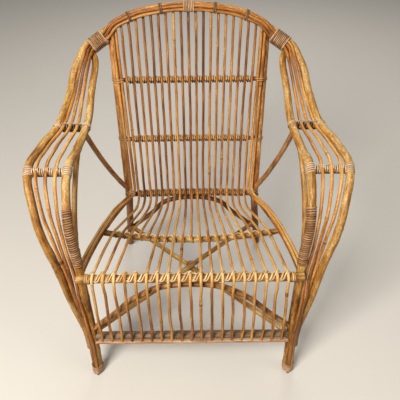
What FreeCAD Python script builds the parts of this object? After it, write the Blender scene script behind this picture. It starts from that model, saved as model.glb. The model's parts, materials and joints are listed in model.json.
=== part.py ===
"""Rattan armchair: bent poles and rods, nailed and lashed with split cane.

Millimetres, +Z up, the sitter faces -Y. Depths are written from the centre
line of the front feet and heights from a level just below the floor. Both
are shifted at the end, so that the origin is the middle of the chair's box
on the floor.
"""
import math
import os

import FreeCAD
import Part

V = FreeCAD.Vector

# Diameters of the material
POLE_D = 20.0
POST_D = 22.0
HOOP_ROD_D = 8.5
SPINDLE_D = 7.5
EDGE_ROD_D = 8.5
FRONT_RAIL_D = 21.0
SIDE_RAIL_D = 16.0
SEAT_BAR_D = 17.0
LOWER_BAR_D = 16.0
BACK_ROD_D = 13.0
APRON_ROD_D = 10.0
FOOT_BAR_D = 22.0
BRACE_D = 14.0
ARCH_D = 15.0
STRETCHER_D = 15.0
ARM_BAR_D = 13.0
CANE_D = 3.0
FIT = 0.3

# Heights and places of the main joints
CREST_Y = 567.0
CREST_Z = 860.0
RECLINE = 17.2
RAIL_Z = 390.0
APRON_Z = 153.0
FOOT_BAR_Z = 161.0
SEAT_BAR_Y = 224.0
SEAT_BAR_Z = 318.0
SEAT_BAR_RISE = 22.0
SEAT_BAR_SET = 8.0
SEAT_CORNER_Z = 306.0
LOWER_BAR_Z = 338.0
MIDDLE_ROD_Z = 508.0
UPPER_ROD_Z = 675.0
BACK_BOW = 14.0
BACK_FOOT = V(235.0, 538.0, 0.0)

# The fan of spindles
SPINDLES = 19
ARCH_HALF = 186.0
CORNER_HALF = 163.0
SEAT_HALF = 218.0
RAIL_HALF = 239.0
APRON_HALF = 243.0
OPEN_RODS = (4, 5, 10)

# Lashings
WRAP_TURNS = 24
WRAP_LOW = 446.0
WRAP_HIGH = 552.0
SHOULDER_TURNS = 9
SHOULDER_PITCH = 4.2
CREST_TURNS = 7
CREST_PITCH = 4.2
FOOT_TURNS = 6
FOOT_PITCH = 4.2
FOOT_MIDDLE = 19.0

FLOOR_Z = 12.0
FLOOR_CUT = 30.0
shapes = {}


def unit(v):
    """Same direction, length one."""
    return V(v).multiply(1.0 / v.Length)


def arc_or_line(p, t, q):
    """Edge from p to q that leaves p along t."""
    chord = unit(q - p)
    side = t - chord * t.dot(chord)
    if side.Length < 1e-6:
        return Part.LineSegment(p, q).toShape()
    angle = math.acos(max(-1.0, min(1.0, t.dot(chord))))
    rise = 0.5 * (q - p).Length * math.tan(angle / 2)
    return Part.Arc(p, (p + q) * 0.5 + unit(side) * rise, q).toShape()


def biarc(p, t, q, s):
    """Two tangent arcs from p along t to q along s."""
    v = q - p
    bend = 2 * (1 - t.dot(s))
    if bend < 1e-9:
        d = v.dot(v) / (4 * v.dot(s))
    else:
        along = v.dot(t + s)
        d = (-along + math.sqrt(along * along + bend * v.dot(v))) / bend
    m = (p + q + (t - s) * d) * 0.5
    last = arc_or_line(q, s * -1, m)
    ends = [x.Point for x in last.Vertexes]
    if (ends[0] - q).Length < 1e-6 and last.Curve.TypeId == "Part::GeomLine":
        last = Part.LineSegment(m, q).toShape()
    elif (ends[0] - q).Length < 1e-6:
        half = 0.5 * (last.FirstParameter + last.LastParameter)
        last = Part.Arc(m, last.valueAt(half), q).toShape()
    return [arc_or_line(p, t, m), last]


def path(points, fixed=None):
    """Smooth chain of arcs through the points; fixed gives set tangents."""
    fixed = fixed or {}
    n = len(points)
    tangent = [None] * n
    for i in range(1, n - 1):
        a = points[i] - points[i - 1]
        b = points[i + 1] - points[i]
        tangent[i] = unit(a * (b.Length / a.Length) + b * (a.Length / b.Length))
    for i, t in fixed.items():
        tangent[i % n] = unit(t)
    for i, j in ((0, 1), (n - 1, n - 2)):
        if tangent[i] is None:
            chord = unit(points[j] - points[i])
            tangent[i] = unit(chord * (2 * chord.dot(tangent[j])) - tangent[j])
    edges = []
    for i in range(n - 1):
        edges += biarc(points[i], tangent[i], points[i + 1], tangent[i + 1])
    return edges


def bends(points, radii):
    """Straight runs joined by tangent arcs at the inner points."""
    edges = []
    start = points[0]
    for i in range(1, len(points) - 1):
        a = unit(points[i - 1] - points[i])
        b = unit(points[i + 1] - points[i])
        half = 0.5 * math.acos(max(-1.0, min(1.0, a.dot(b))))
        reach = radii[i - 1] / math.tan(half)
        p = points[i] + a * reach
        q = points[i] + b * reach
        middle = unit(a + b)
        centre = points[i] + middle * (radii[i - 1] / math.sin(half))
        edges.append(Part.LineSegment(start, p).toShape())
        edges.append(Part.Arc(p, centre - middle * radii[i - 1], q).toShape())
        start = q
    edges.append(Part.LineSegment(start, points[-1]).toShape())
    return edges


def tube(edges, diameter):
    """Round solid swept along the edges."""
    first = edges[0]
    p = first.valueAt(first.FirstParameter)
    t = first.tangentAt(first.FirstParameter)
    if (p - edges[0].Vertexes[0].Point).Length > 1e-6:
        raise ValueError("edge runs backwards")
    ring = Part.Wire([Part.Circle(p, t, diameter / 2).toShape()])
    wire = Part.Wire(edges)
    solid = wire.makePipeShell([ring], True, False)
    meant = math.pi * diameter ** 2 / 4 * wire.Length
    if abs(solid.Volume / meant - 1) > 0.01:
        print("volume differs", solid.Volume, meant)
    return solid


def biggest(shape):
    """Largest solid of a cut."""
    return max(shape.Solids, key=lambda s: s.Volume)


def coped(shape, *others):
    """Shape with its ends shaped to sit against the others."""
    for other in others:
        shape = biggest(shape.cut(other))
    return shape


def side(points, s):
    """Points for the right side (s = 1) or the left side (s = -1)."""
    return [V(s * p.x, p.y, p.z) for p in points]


def both(points):
    """Points of the right half, crest last, continued down the left half."""
    return points + side(points[:-1], -1)[::-1]


SIDES = (("left", -1), ("right", 1))
floor_box = Part.makeBox(2000, 2000, 200, V(-1000, -1000, FLOOR_Z - 200))

# Directions in the reclined back: up along it and out of its front
lean = math.radians(RECLINE)
UP = V(0, math.sin(lean), math.cos(lean))
OUT = V(0, -math.cos(lean), math.sin(lean))
CREST = V(0, CREST_Y, CREST_Z)
SPINDLE_OUT = 3.0


def on_back(x, z):
    """Point of the hoop's plane at the given height."""
    return V(x, CREST_Y - (CREST_Z - z) * math.tan(lean), z)


def spindle_point(x, z):
    """Point of the bowed sheet that the spindles lie in."""
    low = max(0.0, (CREST_Z - 30 - z) / (CREST_Z - 30 - LOWER_BAR_Z))
    bow = BACK_BOW * min(1.0, low) * (1 - (x / 200.0) ** 2)
    return on_back(x, z) + OUT * (SPINDLE_OUT - bow)


# Arm poles, from the front feet over the arms into the shoulder lashings
SHOULDER = V(254, CREST_Y - 27, CREST_Z - 83)
SH_ALONG = unit(V(-66, 37, 37))
SH_FRONT = unit(OUT - SH_ALONG * OUT.dot(SH_ALONG))
SH_OUTER = SH_FRONT.cross(SH_ALONG) * -1
SH_HALF = 19.0


def at_shoulder(along, outer, front):
    """Point of the shoulder bundle."""
    return SHOULDER + SH_ALONG * along + SH_OUTER * outer + SH_FRONT * front


POLE_GAP = POLE_D / 2 + FIT / 2
ROD_SEAT = POLE_D / 2 + HOOP_ROD_D / 2 + FIT
arm_route = [
    V(270, -1, -FLOOR_CUT),
    V(269, 12, 150),
    V(274, 33, 390),
    V(289, 80, 546),
    V(289, 150, 616),
    V(280, 240, 622),
    V(268, 330, 640),
    V(264, 430, (SHOULDER.z + 607) / 2),
    V(258, 493, SHOULDER.z - 39),
    at_shoulder(-SH_HALF, -POLE_GAP, 0),
    at_shoulder(SH_HALF + 4, -POLE_GAP, 0),
]
arm_edges = {}
for name, s in SIDES:
    along = V(s * SH_ALONG.x, SH_ALONG.y, SH_ALONG.z)
    arm_edges[name] = path(side(arm_route, s), {-1: along, -2: along})
    pole = tube(arm_edges[name], POLE_D)
    shapes["arm_pole_" + name] = coped(pole, floor_box)


def leg_point(z):
    """Centre of the right front leg at a height below the arm."""
    for edge in arm_edges["right"][:6]:
        a, b = edge.FirstParameter, edge.LastParameter
        if edge.valueAt(a).z <= z <= edge.valueAt(b).z:
            for _ in range(40):
                m = 0.5 * (a + b)
                if edge.valueAt(m).z < z:
                    a = m
                else:
                    b = m
            return edge.valueAt(a)
    raise ValueError("no leg there")


# Outer hoop pole: one pole on each side, meeting under the crest lashing
ARCH_STATIONS = ((200, CREST_Z - 41), (150, CREST_Z - 20), (76, CREST_Z - 5))
hoop_right = [
    leg_point(98) + V(18.8, 13.2, 0),
    leg_point(150) + V(19.5, 12.8, 0),
    leg_point(255) + V(35, 9, 0),
    leg_point(310) + V(42.8, 6, 0),
    V(321, 31, 365),
    V(366, 80, 546),
    V(383, 150, 616),
    V(374, 245, 623),
    V(343, 325, 638),
    V(326, 405, (SHOULDER.z + 569) / 2),
    V(307, 487, SHOULDER.z - 39),
    at_shoulder(-SH_HALF, POLE_GAP, 0),
    at_shoulder(SH_HALF, POLE_GAP, 0),
]
hoop_right += [on_back(x, z) for x, z in ARCH_STATIONS]
hoop_right.append(CREST)
JOINT = 0.25
hoop_solids = {}
for name, s in SIDES:
    along = V(s * SH_ALONG.x, SH_ALONG.y, SH_ALONG.z)
    route = side(hoop_right, s)
    route[-1] = route[-1] + V(s * JOINT, 0, 0)
    edges = path(route, {11: along, 12: along, -1: V(-s, 0, 0)})
    hoop_solids[name] = tube(edges, POLE_D)
    shapes["hoop_pole_" + name] = hoop_solids[name]
arch_edges = path(hoop_right, {11: SH_ALONG, 12: SH_ALONG, -1: V(-1, 0, 0)})


def arch_point(x):
    """Centre of the arch and its outward direction at a given x."""
    for edge in arch_edges[24:]:
        a, b = edge.FirstParameter, edge.LastParameter
        if edge.valueAt(a).x >= abs(x) >= edge.valueAt(b).x:
            for _ in range(40):
                m = 0.5 * (a + b)
                if edge.valueAt(m).x > abs(x):
                    a = m
                else:
                    b = m
            p, t = edge.valueAt(a), edge.tangentAt(a)
            s = -1 if x < 0 else 1
            p, t = V(s * p.x, p.y, p.z), V(s * t.x, t.y, t.z)
            outer = unit(OUT.cross(t) * s)
            return p, (outer if outer.z > 0 else outer * -1)
    return CREST, UP


def clear_of(p, edges, reach):
    """The point, moved off a pole's centre line where it is nearer than reach."""
    gap, pairs, info = Part.Wire(edges).distToShape(Part.Vertex(p))
    if gap >= reach:
        return p
    return pairs[0][0] + unit(p - pairs[0][0]) * reach


def arch_head(x, out):
    """Top of a rod of the back: level with the arch, in the plane of the back."""
    return on_back(x, arch_point(x)[0].z) + OUT * out


# Three thin rods between the arm poles, laid on the arch over the back
ROD_ANGLES = {"outer": 50, "middle": 15, "inner": -20}
ROD_TURN = {"outer": (-4, 14.6), "middle": (-44, 14.6), "inner": (-53, 24.1)}
ROD_LEG = {"outer": 5, "middle": 40, "inner": 75}
ROD_SHIN = {"outer": V(20.5, 1.2, 0), "middle": V(17.8, -8.0, 0), "inner": V(9.5, -11.5, 0)}
ROD_KNEE = {"outer": V(28.2, 0.5, 0), "middle": V(22.7, -6.8, 0), "inner": V(14.0, -6.5, 0)}
ROD_X = {
    "outer": (306, 327, 347, 361.5, 353, 328, 312, 292),
    "middle": (297.3, 315, 329, 338, 331, 310, 300, 281.8),
    "inner": (288.6, 303, 311, 315, 308, 292, 287, 272.5),
}
ROD_YZ = ((31, 365), (53, 470), (80, 548), (147, 622), (240, 628), (319, 640))
ROD_YZ += ((403, (SHOULDER.z + 575) / 2), (481, SHOULDER.z - 33))
SH_ROD = {"outer": (9.2, 14.4), "middle": (0.0, 10.3), "inner": (-9.2, 14.4)}
rod_solids = {}
for which in ("outer", "middle", "inner"):
    turn = math.radians(ROD_LEG[which])
    off = V(math.cos(turn), -math.sin(turn), 0) * (ROD_SEAT + 0.15)
    right = [leg_point(z) + off for z in (-FLOOR_CUT, 60, 145)]
    right.append(leg_point(255) + ROD_SHIN[which])
    right.append(leg_point(310) + ROD_KNEE[which])
    right += [V(x, y, z) for x, (y, z) in zip(ROD_X[which], ROD_YZ)]
    if which == "middle":
        right[5] = right[5] + V(0, -4, 0)
    outer, front = SH_ROD[which]
    if which == "inner":
        middle = (right[-1] + at_shoulder(-SH_HALF, outer, front)) * 0.5
        right.append(clear_of(middle, arm_edges["right"], ROD_SEAT + 3.0))
    bundle_start = len(right)
    right.append(at_shoulder(-SH_HALF, outer, front))
    right.append(at_shoulder(SH_HALF, outer, front))
    first, wide = ROD_TURN[which]
    ease, more = (1.5, 1.9) if which == "inner" else (1.0, 0.4)
    for x, k in ((230, 0.16), (219, 0.5), (208, 0.84), (197, 1), (174, 1), (150, 1), (76, 1), (0, 1)):
        turn = math.radians(first + (ROD_ANGLES[which] - first) * k ** ease)
        reach = wide + (ROD_SEAT - wide) * k + (more if 0.3 < k < 1 else 0.5 if x > 170 else 0)
        p, outward = arch_point(x)
        right.append(p + OUT * (reach * math.cos(turn)) + outward * (reach * math.sin(turn)))
    for name, s in SIDES:
        along = V(s * SH_ALONG.x, SH_ALONG.y, SH_ALONG.z)
        route = side(right, s)
        route[-1] = route[-1] + V(s * JOINT, 0, 0)
        edges = path(route, {bundle_start: along, bundle_start + 1: along, -1: V(-s, 0, 0)})
        rod = coped(tube(edges, HOOP_ROD_D), floor_box)
        rod_solids.setdefault(name, []).append(rod)
for name, s in SIDES:
    shapes["hoop_rods_" + name] = Part.Compound(rod_solids[name])

# Back posts: behind the edge rods, then raked out to the back feet
POST_BACK = POST_D / 2 + EDGE_ROD_D / 2 + FIT - SPINDLE_OUT
KNEE_Z = 330.0
POST_HEAD_Z = CREST_Z - 54
foot_step = (BACK_FOOT - (on_back(196, KNEE_Z) - OUT * POST_BACK)) * (1 / KNEE_Z)
post_route = [
    on_back(216, POST_HEAD_Z) - OUT * POST_BACK,
    on_back(196, KNEE_Z) - OUT * POST_BACK,
    BACK_FOOT + foot_step * FLOOR_CUT,
]
for name, s in SIDES:
    post = tube(bends(side(post_route, s), [160]), POST_D)
    shapes["back_post_" + name] = coped(post, hoop_solids[name], floor_box)
    shapes["arm_pole_" + name] = coped(shapes["arm_pole_" + name], shapes["back_post_" + name])


def post_point(z):
    """Centre of the back leg below the knee."""
    return post_route[1] + (BACK_FOOT - post_route[1]) * ((KNEE_Z - z) / KNEE_Z)


# Seat frame
rail_y = leg_point(RAIL_Z).y - (POLE_D + FRONT_RAIL_D) / 2 - 0.8
rail_ends = [V(-280, rail_y, RAIL_Z), V(280, rail_y, RAIL_Z)]
shapes["front_rail"] = tube([Part.LineSegment(*rail_ends).toShape()], FRONT_RAIL_D)
apron_y = leg_point(APRON_Z).y - (POLE_D + APRON_ROD_D) / 2 - FIT
apron_ends = [V(-262, apron_y, APRON_Z), V(262, apron_y, APRON_Z)]
shapes["apron_rod"] = tube([Part.LineSegment(*apron_ends).toShape()], APRON_ROD_D)

foot_y = leg_point(FOOT_BAR_Z).y
foot_half = leg_point(FOOT_BAR_Z).x - 7
foot_ends = [V(-foot_half, foot_y, FOOT_BAR_Z), V(foot_half, foot_y, FOOT_BAR_Z)]
bar = tube([Part.LineSegment(*foot_ends).toShape()], FOOT_BAR_D)
shapes["lower_front_bar"] = coped(bar, shapes["arm_pole_left"], shapes["arm_pole_right"])

side_route = [
    leg_point(386),
    V(267, 125, 366),
    V(252, 232, 345),
    V(227, 328, 332),
    post_point(324),
]
for name, s in SIDES:
    rail = tube(path(side(side_route, s)), SIDE_RAIL_D)
    shapes["side_rail_" + name] = coped(rail, shapes["arm_pole_" + name], shapes["back_post_" + name])


def seat_bar(x):
    """Centre of the dished bar under the middle of the seat."""
    k = (x / 243.0) ** 2
    return V(x, SEAT_BAR_Y + SEAT_BAR_SET * k, SEAT_BAR_Z + SEAT_BAR_RISE * k)


bar = tube(path([seat_bar(x) for x in (-252, -170, -85, 0, 85, 170, 252)]), SEAT_BAR_D)
shapes["seat_bar"] = coped(bar, shapes["side_rail_left"], shapes["side_rail_right"])


def cross_bar(z, diameter):
    """Centre line of a cross bar behind the spindles, as a function of x."""
    back = (SPINDLE_D + diameter) / 2 + 2 * FIT

    def centre(x):
        return spindle_point(x, z) - OUT * back
    return centre


back_bars = {
    "lower_back_bar": (LOWER_BAR_Z, LOWER_BAR_D),
    "middle_back_rod": (MIDDLE_ROD_Z, BACK_ROD_D),
    "upper_back_rod": (UPPER_ROD_Z, BACK_ROD_D),
}
for name, (z, d) in back_bars.items():
    centre = cross_bar(z, d)
    reach = post_route[1].x + (post_route[0].x - post_route[1].x) * (z - KNEE_Z) / (POST_HEAD_Z - KNEE_Z)
    xs = [reach * k / 3 for k in range(-3, 4)]
    bar = tube(path([centre(x) for x in xs]), d)
    bar = coped(bar, shapes["back_post_left"], shapes["back_post_right"])
    shapes[name] = coped(bar, shapes["side_rail_left"], shapes["side_rail_right"])

# Spindles: from the arch down the back, over the seat and down the apron
SEAT_LIFT = (SEAT_BAR_D + SPINDLE_D) / 2 + 2 * FIT
RAIL_LIFT = (FRONT_RAIL_D + SPINDLE_D) / 2 + FIT


def tangent_corner(p, q, centre, radius):
    """Where the upper tangent from p and the front tangent from q meet, in Y and Z."""
    lines = []
    for a, sign in ((p, 1), (q, -1)):
        dy, dz = centre.y - a.y, centre.z - a.z
        reach = math.hypot(dy, dz)
        heading = math.atan2(dz, dy) - sign * math.asin(radius / reach)
        lines.append((a.y, a.z, math.cos(heading), math.sin(heading)))
    (y1, z1, c1, s1), (y2, z2, c2, s2) = lines
    k = ((y2 - y1) * s2 - (z2 - z1) * c2) / (c1 * s2 - s1 * c2)
    return y1 + k * c1, z1 + k * s1


crest_sleeve = Part.makeCylinder(POLE_D / 2 + CANE_D + 3.5, 36, CREST - V(18, 0, 0), V(1, 0, 0))
rail_centre = V(0, rail_y, RAIL_Z)
apron_lengths = []
middle_number = (SPINDLES + 1) // 2
for number in range(1, SPINDLES + 1):
    u = abs(number - middle_number) / (middle_number - 1)
    head = arch_head(ARCH_HALF * u, SPINDLE_OUT)
    corner = spindle_point(CORNER_HALF * u, SEAT_CORNER_Z)
    seat = seat_bar(SEAT_HALF * u) + V(0, 0, SEAT_LIFT)
    foot = V(APRON_HALF * u, apron_y, APRON_Z)
    y, z = tangent_corner(seat, foot, rail_centre, RAIL_LIFT)
    brow = V(RAIL_HALF * u, y, z)
    lengths = []
    if number in OPEN_RODS:
        stop = seat + (brow - seat) * 0.07
        upper = tube(bends([head, corner, seat, stop], [38, 40]), SPINDLE_D)
        top = brow + (seat - brow) * 0.09
        lower = tube(bends([top, brow, foot], [RAIL_LIFT]), SPINDLE_D)
        lengths = [coped(lower, shapes["apron_rod"])]
    else:
        upper = tube(bends([head, corner, seat, brow, foot], [38, 60, RAIL_LIFT]), SPINDLE_D)
        upper = coped(upper, shapes["apron_rod"])
    upper = coped(upper, hoop_solids["right"])
    if number == middle_number:
        upper = coped(upper, hoop_solids["left"], crest_sleeve)
    if number < middle_number:
        upper = upper.mirror(V(0, 0, 0), V(1, 0, 0))
        lengths = [rod.mirror(V(0, 0, 0), V(1, 0, 0)) for rod in lengths]
    shapes["spindle_%02d" % number] = upper
    apron_lengths += lengths

shapes["apron_lengths"] = Part.Compound(apron_lengths)

# Edge rods: two on each side, down the back and along the side rail
RAIL_TOP = (SIDE_RAIL_D + EDGE_ROD_D) / 2 + 2 * FIT
edge_solids = {"left": [], "right": []}
for which, top_x, low_x, sign in (("inner", 202, 174.4, -1), ("outer", 212, 185.6, 1)):
    points = [arch_head(top_x, SPINDLE_OUT + 1.0)]
    points.append(spindle_point(low_x, 346) + OUT * 1.0)
    for i in (3, 2, 1, 0):
        run = unit(side_route[max(i - 1, 0)] - side_route[i + 1])
        out = unit(V(-run.y, run.x, 0))
        out = out if out.x > 0 else out * -1
        lift = unit(V(0, 0, 1) - run * run.z)
        points.append(side_route[i] + lift * RAIL_TOP + out * (sign * (EDGE_ROD_D + FIT) / 2))
    for name, s in SIDES:
        rod = tube(bends(side(points, s), [26, 90, 150, 220]), EDGE_ROD_D)
        rod = coped(rod, hoop_solids[name], shapes["arm_pole_" + name])
        edge_solids[name].append(rod)
for name, s in SIDES:
    shapes["edge_rods_" + name] = Part.Compound(edge_solids[name])

# Braces under the seat
front_arch = [
    leg_point(188),
    V(205, 13.5, 250),
    V(140, rail_y, 320),
    V(84, rail_y, 355),
    V(0, rail_y, RAIL_Z - (FRONT_RAIL_D + ARCH_D) / 2 - CANE_D - 2 * FIT),
]
arch = tube(path(both(front_arch)), ARCH_D)
shapes["front_arch"] = coped(arch, shapes["arm_pole_left"], shapes["arm_pole_right"])
low_bar = cross_bar(LOWER_BAR_Z, LOWER_BAR_D)(0)
rear_arch = [
    post_point(118),
    V(143, 461, 212),
    V(70, 433, 297),
    low_bar - V(0, 0, (LOWER_BAR_D + ARCH_D) / 2 + CANE_D + 2 * FIT),
]
arch = tube(path(both(rear_arch)), ARCH_D)
shapes["rear_arch"] = coped(arch, shapes["back_post_left"], shapes["back_post_right"])
STEP = (STRETCHER_D + FIT) / 2
for name, s, lift in (("left", -1, STEP), ("right", 1, -STEP)):
    other = "right" if name == "left" else "left"
    a = side([leg_point(166)], s)[0] + V(0, 0, lift)
    b = side([post_point(152)], -s)[0] + V(0, 0, lift)
    pole = tube([Part.LineSegment(a, b).toShape()], STRETCHER_D)
    ends = (shapes["arm_pole_" + name], shapes["back_post_" + other], shapes["lower_front_bar"])
    shapes["stretcher_" + name] = coped(pole, *ends, shapes["front_arch"], shapes["rear_arch"])

# Arm supports, braces and bars
for name, s in SIDES:
    arm, post = shapes["arm_pole_" + name], shapes["back_post_" + name]
    top, low = V(279, 250, 623), leg_point(414)
    points = [top, top + (low - top) * 0.36 + V(9, 0, 0), low]
    support = tube(path(side(points, s)), BRACE_D)
    shapes["arm_support_" + name] = coped(support, arm, shapes["side_rail_" + name], *edge_solids[name])
    top, low = V(271, 298, 632), post_route[1] + V(6, 4, 32)
    points = [top, top + (low - top) * 0.5 + V(5, -6, 0), low]
    shapes["arm_brace_" + name] = coped(tube(path(side(points, s)), BRACE_D), arm, post)
arm, hoop = shapes["arm_pole_right"], hoop_solids["right"]
for place, y, z, inner, outer in (("front", 149, 610.8, 289, 383), ("rear", 322, 628.8, 269, 345)):
    bar = tube([Part.LineSegment(V(inner, y, z), V(outer, y, z)).toShape()], ARM_BAR_D)
    bar = coped(bar, arm, hoop)
    shapes["arm_bar_%s_right" % place] = bar
    shapes["arm_bar_%s_left" % place] = bar.mirror(V(0, 0, 0), V(1, 0, 0))


def wound(centre, frame, belt, stations, label, steps=4):
    """Cane wound once round the belt from each station to the next.

    centre gives the bundle's centre at a station, frame the two directions
    across it, and belt the offset along them at an angle.
    """
    turns = len(stations)

    def spot(k):
        pos = k / steps - 0.5
        i = max(0, min(turns - 2, int(math.floor(pos))))
        s = stations[i] + (stations[i + 1] - stations[i]) * (pos - i)
        a, b = frame(s)
        p, q = belt(2 * math.pi * (k / steps - 0.5))
        return centre(s) + a * p + b * q

    total = turns * steps
    points = [spot(k) for k in range(total + 1)]
    slopes = [unit(spot(k + 0.02) - spot(k - 0.02)) for k in range(total + 1)]
    edges = [Part.LineSegment(points[0] - slopes[0] * CANE_D, points[0]).toShape()]
    for k in range(total):
        edges += biarc(points[k], slopes[k], points[k + 1], slopes[k + 1])
    edges.append(Part.LineSegment(points[-1], points[-1] + slopes[-1] * CANE_D).toShape())
    least = 1e9
    fine = [spot(k / 4) for k in range(4 * total + 1)]
    for i, p in enumerate(fine):
        for q in fine[i + 2 * steps:i + 6 * steps]:
            least = min(least, (p - q).Length)
    print("%s: %d loops, least gap to itself %.2f mm" % (label, turns, least - CANE_D))
    return tube(edges, CANE_D)


def ring(radius):
    """Belt round one pole."""
    r = radius + CANE_D / 2 + 0.25

    def belt(angle):
        return r * math.cos(angle), r * math.sin(angle)
    return belt


def hull(circles):
    """Belt round a bundle of circles (across, out, radius)."""
    def belt(angle):
        c, s = math.cos(angle), math.sin(angle)
        best = max(circles, key=lambda k: k[0] * c + k[1] * s + k[2])
        r = best[2] + CANE_D / 2 + 0.35
        return best[0] + r * c, best[1] + r * s
    return belt


def straight(origin, along, a, b):
    """Centre and frame of a winding on a straight run."""
    def centre(s):
        return origin + along * s

    def frame(s):
        return a, b
    return centre, frame


def spread(turns, pitch):
    """Stations of an even winding about its middle."""
    return [(k - (turns - 1) / 2) * pitch for k in range(turns)]


# Wraps on the arm poles above the seat
wraps = []
for name, s in SIDES:
    wire = Part.Wire(arm_edges[name])
    samples = wire.discretize(Distance=1.0)
    run = [p for p in samples[:800] if WRAP_LOW <= p.z <= WRAP_HIGH]

    def pole_at(k, run=run):
        i = max(0, min(len(run) - 2, int(k)))
        return run[i] + (run[i + 1] - run[i]) * (k - i)

    def pole_frame(k, run=run):
        i = max(2, min(len(run) - 3, int(round(k))))
        t = unit(run[i + 2] - run[i - 2])
        a = unit(V(1, 0, 0) - t * t.x)
        return a, t.cross(a)
    stations = [4 + k * (len(run) - 9) / (WRAP_TURNS - 1) for k in range(WRAP_TURNS)]
    wraps.append(wound(pole_at, pole_frame, ring(POLE_D / 2), stations, "arm wrap " + name))
shapes["arm_wraps"] = Part.Compound(wraps)

# Shoulder lashings round the whole bundle
bundle = [(POLE_GAP, 0, POLE_D / 2), (-POLE_GAP, 0, POLE_D / 2)]
bundle += [(a, b, HOOP_ROD_D / 2) for a, b in SH_ROD.values()]
lashings = []
for name, s in SIDES:
    along, outer, front = side([SH_ALONG, SH_OUTER, SH_FRONT], s)
    centre, frame = straight(side([SHOULDER], s)[0], along, outer, front)
    turns = spread(SHOULDER_TURNS, SHOULDER_PITCH)
    lashings.append(wound(centre, frame, hull(bundle), turns, "shoulder lashing " + name, 12))
shapes["shoulder_lashings"] = Part.Compound(lashings)

# Crest lashing and the ties along the arch
arch_bundle = [(0, 0, POLE_D / 2)]
for angle in ROD_ANGLES.values():
    turn = math.radians(angle)
    arch_bundle.append((ROD_SEAT * math.sin(turn), ROD_SEAT * math.cos(turn), HOOP_ROD_D / 2))
arch_belt = hull(arch_bundle)
ties = []
for x in (-159, -73.5, 0, 73.5, 159):
    p, outward = arch_point(x)
    along = unit(outward.cross(OUT))
    along = along if along.x > 0 else along * -1
    centre, frame = straight(p, along, outward, OUT)
    turns = spread(CREST_TURNS, CREST_PITCH) if x == 0 else spread(2, 3.9)
    ties.append(wound(centre, frame, arch_belt, turns, "arch lashing at %d" % x, 12))
shapes["arch_lashings"] = Part.Compound(ties)

# Foot lashings round the leg and the three rods beside it
lashings = []
for name, s in SIDES:
    foot = leg_point(FLOOR_Z + FOOT_MIDDLE)
    along = unit(leg_point(FLOOR_Z + FOOT_MIDDLE + 15) - foot)
    circles = [(0, 0, POLE_D / 2)]
    for angle in ROD_LEG.values():
        turn = math.radians(angle)
        circles.append((s * ROD_SEAT * math.cos(turn), ROD_SEAT * math.sin(turn), HOOP_ROD_D / 2 + 0.7))
    centre, frame = straight(side([foot], s)[0], side([along], s)[0], V(1, 0, 0), V(0, -1, 0))
    turns = spread(FOOT_TURNS, FOOT_PITCH)
    lashings.append(wound(centre, frame, hull(circles), turns, "foot lashing " + name, 12))
shapes["foot_lashings"] = Part.Compound(lashings)

# Lashing where the stretchers cross
near_end = leg_point(166)
far_end = side([post_point(152)], -1)[0]
share = near_end.x / (near_end.x - far_end.x)
middle = near_end + (far_end - near_end) * share
slope = unit(V(0, far_end.y - near_end.y, far_end.z - near_end.z))
wide = STRETCHER_D / 2 * 1.45
circles = [(dx, dz, wide) for dx in (-5.5, 5.5) for dz in (-STEP, STEP)]
centre, frame = straight(middle, slope, V(1, 0, 0), slope.cross(V(1, 0, 0)) * -1)
shapes["stretcher_lashing"] = wound(centre, frame, hull(circles), spread(3, 3.7), "stretcher lashing", 12)


def binding(centre, radius, towards, half, label):
    """Cane along a cross bar, crossing it once between each two spindles."""
    step = 2 * half / (SPINDLES - 1)

    def frame(x):
        t = unit(centre(x + 1) - centre(x - 1))
        a = unit(towards - t * t.dot(towards))
        return a, t.cross(a)
    stations = spread(SPINDLES - 1, step)
    return wound(centre, frame, ring(radius), stations, label)


def spindle_half(z):
    """Half the spread of the spindles at a height on the back."""
    k = (z - SEAT_CORNER_Z) / (arch_point(ARCH_HALF)[0].z - SEAT_CORNER_Z)
    return CORNER_HALF + (ARCH_HALF - CORNER_HALF) * k


def rail_line(x):
    """Centre of the front rail."""
    return V(x, rail_y, RAIL_Z)


front = V(0, -math.sqrt(0.5), math.sqrt(0.5))
shapes["front_rail_binding"] = binding(rail_line, FRONT_RAIL_D / 2, front, RAIL_HALF, "front rail binding")
shapes["seat_bar_binding"] = binding(seat_bar, SEAT_BAR_D / 2, V(0, 0, 1), SEAT_HALF, "seat bar binding")
bound = []
for name, (z, d) in back_bars.items():
    bound.append(binding(cross_bar(z, d), d / 2, OUT, spindle_half(z), name + " binding"))
shapes["back_bindings"] = Part.Compound(bound)

# Bindings on the arm bars, three turns in each gap between the rods
bound = []
arm_bars = (("front", 149, 610.8, 289, 383, 3), ("rear", 322, 628.8, 269, 345, 5))
for name, s in SIDES:
    for place, y, z, inner, outer, k in arm_bars:
        marks = [inner + POLE_D / 2, outer - POLE_D / 2]
        marks += [ROD_X[w][k] for w in ("outer", "middle", "inner")]
        marks.sort()
        marks[0] += 3.5
        stations = []
        for i, (a, b) in enumerate(zip(marks[:3], marks[1:])):
            a = a + (HOOP_ROD_D / 2 if i > 0 else 0)
            b = b - HOOP_ROD_D / 2
            count = max(1, int((b - a - CANE_D - 2.4) / 3.7) + 1)
            stations += [(a + b) / 2 + d for d in spread(count, 3.7)]
        stations = stations if s > 0 else [-x for x in stations[::-1]]
        centre, frame = straight(V(0, y, z), V(1, 0, 0), V(0, 0, 1), V(0, -1, 0))
        bound.append(wound(centre, frame, ring(ARM_BAR_D / 2), stations, "arm bar %s %s" % (place, name)))
shapes["arm_bar_bindings"] = Part.Compound(bound)

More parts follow.
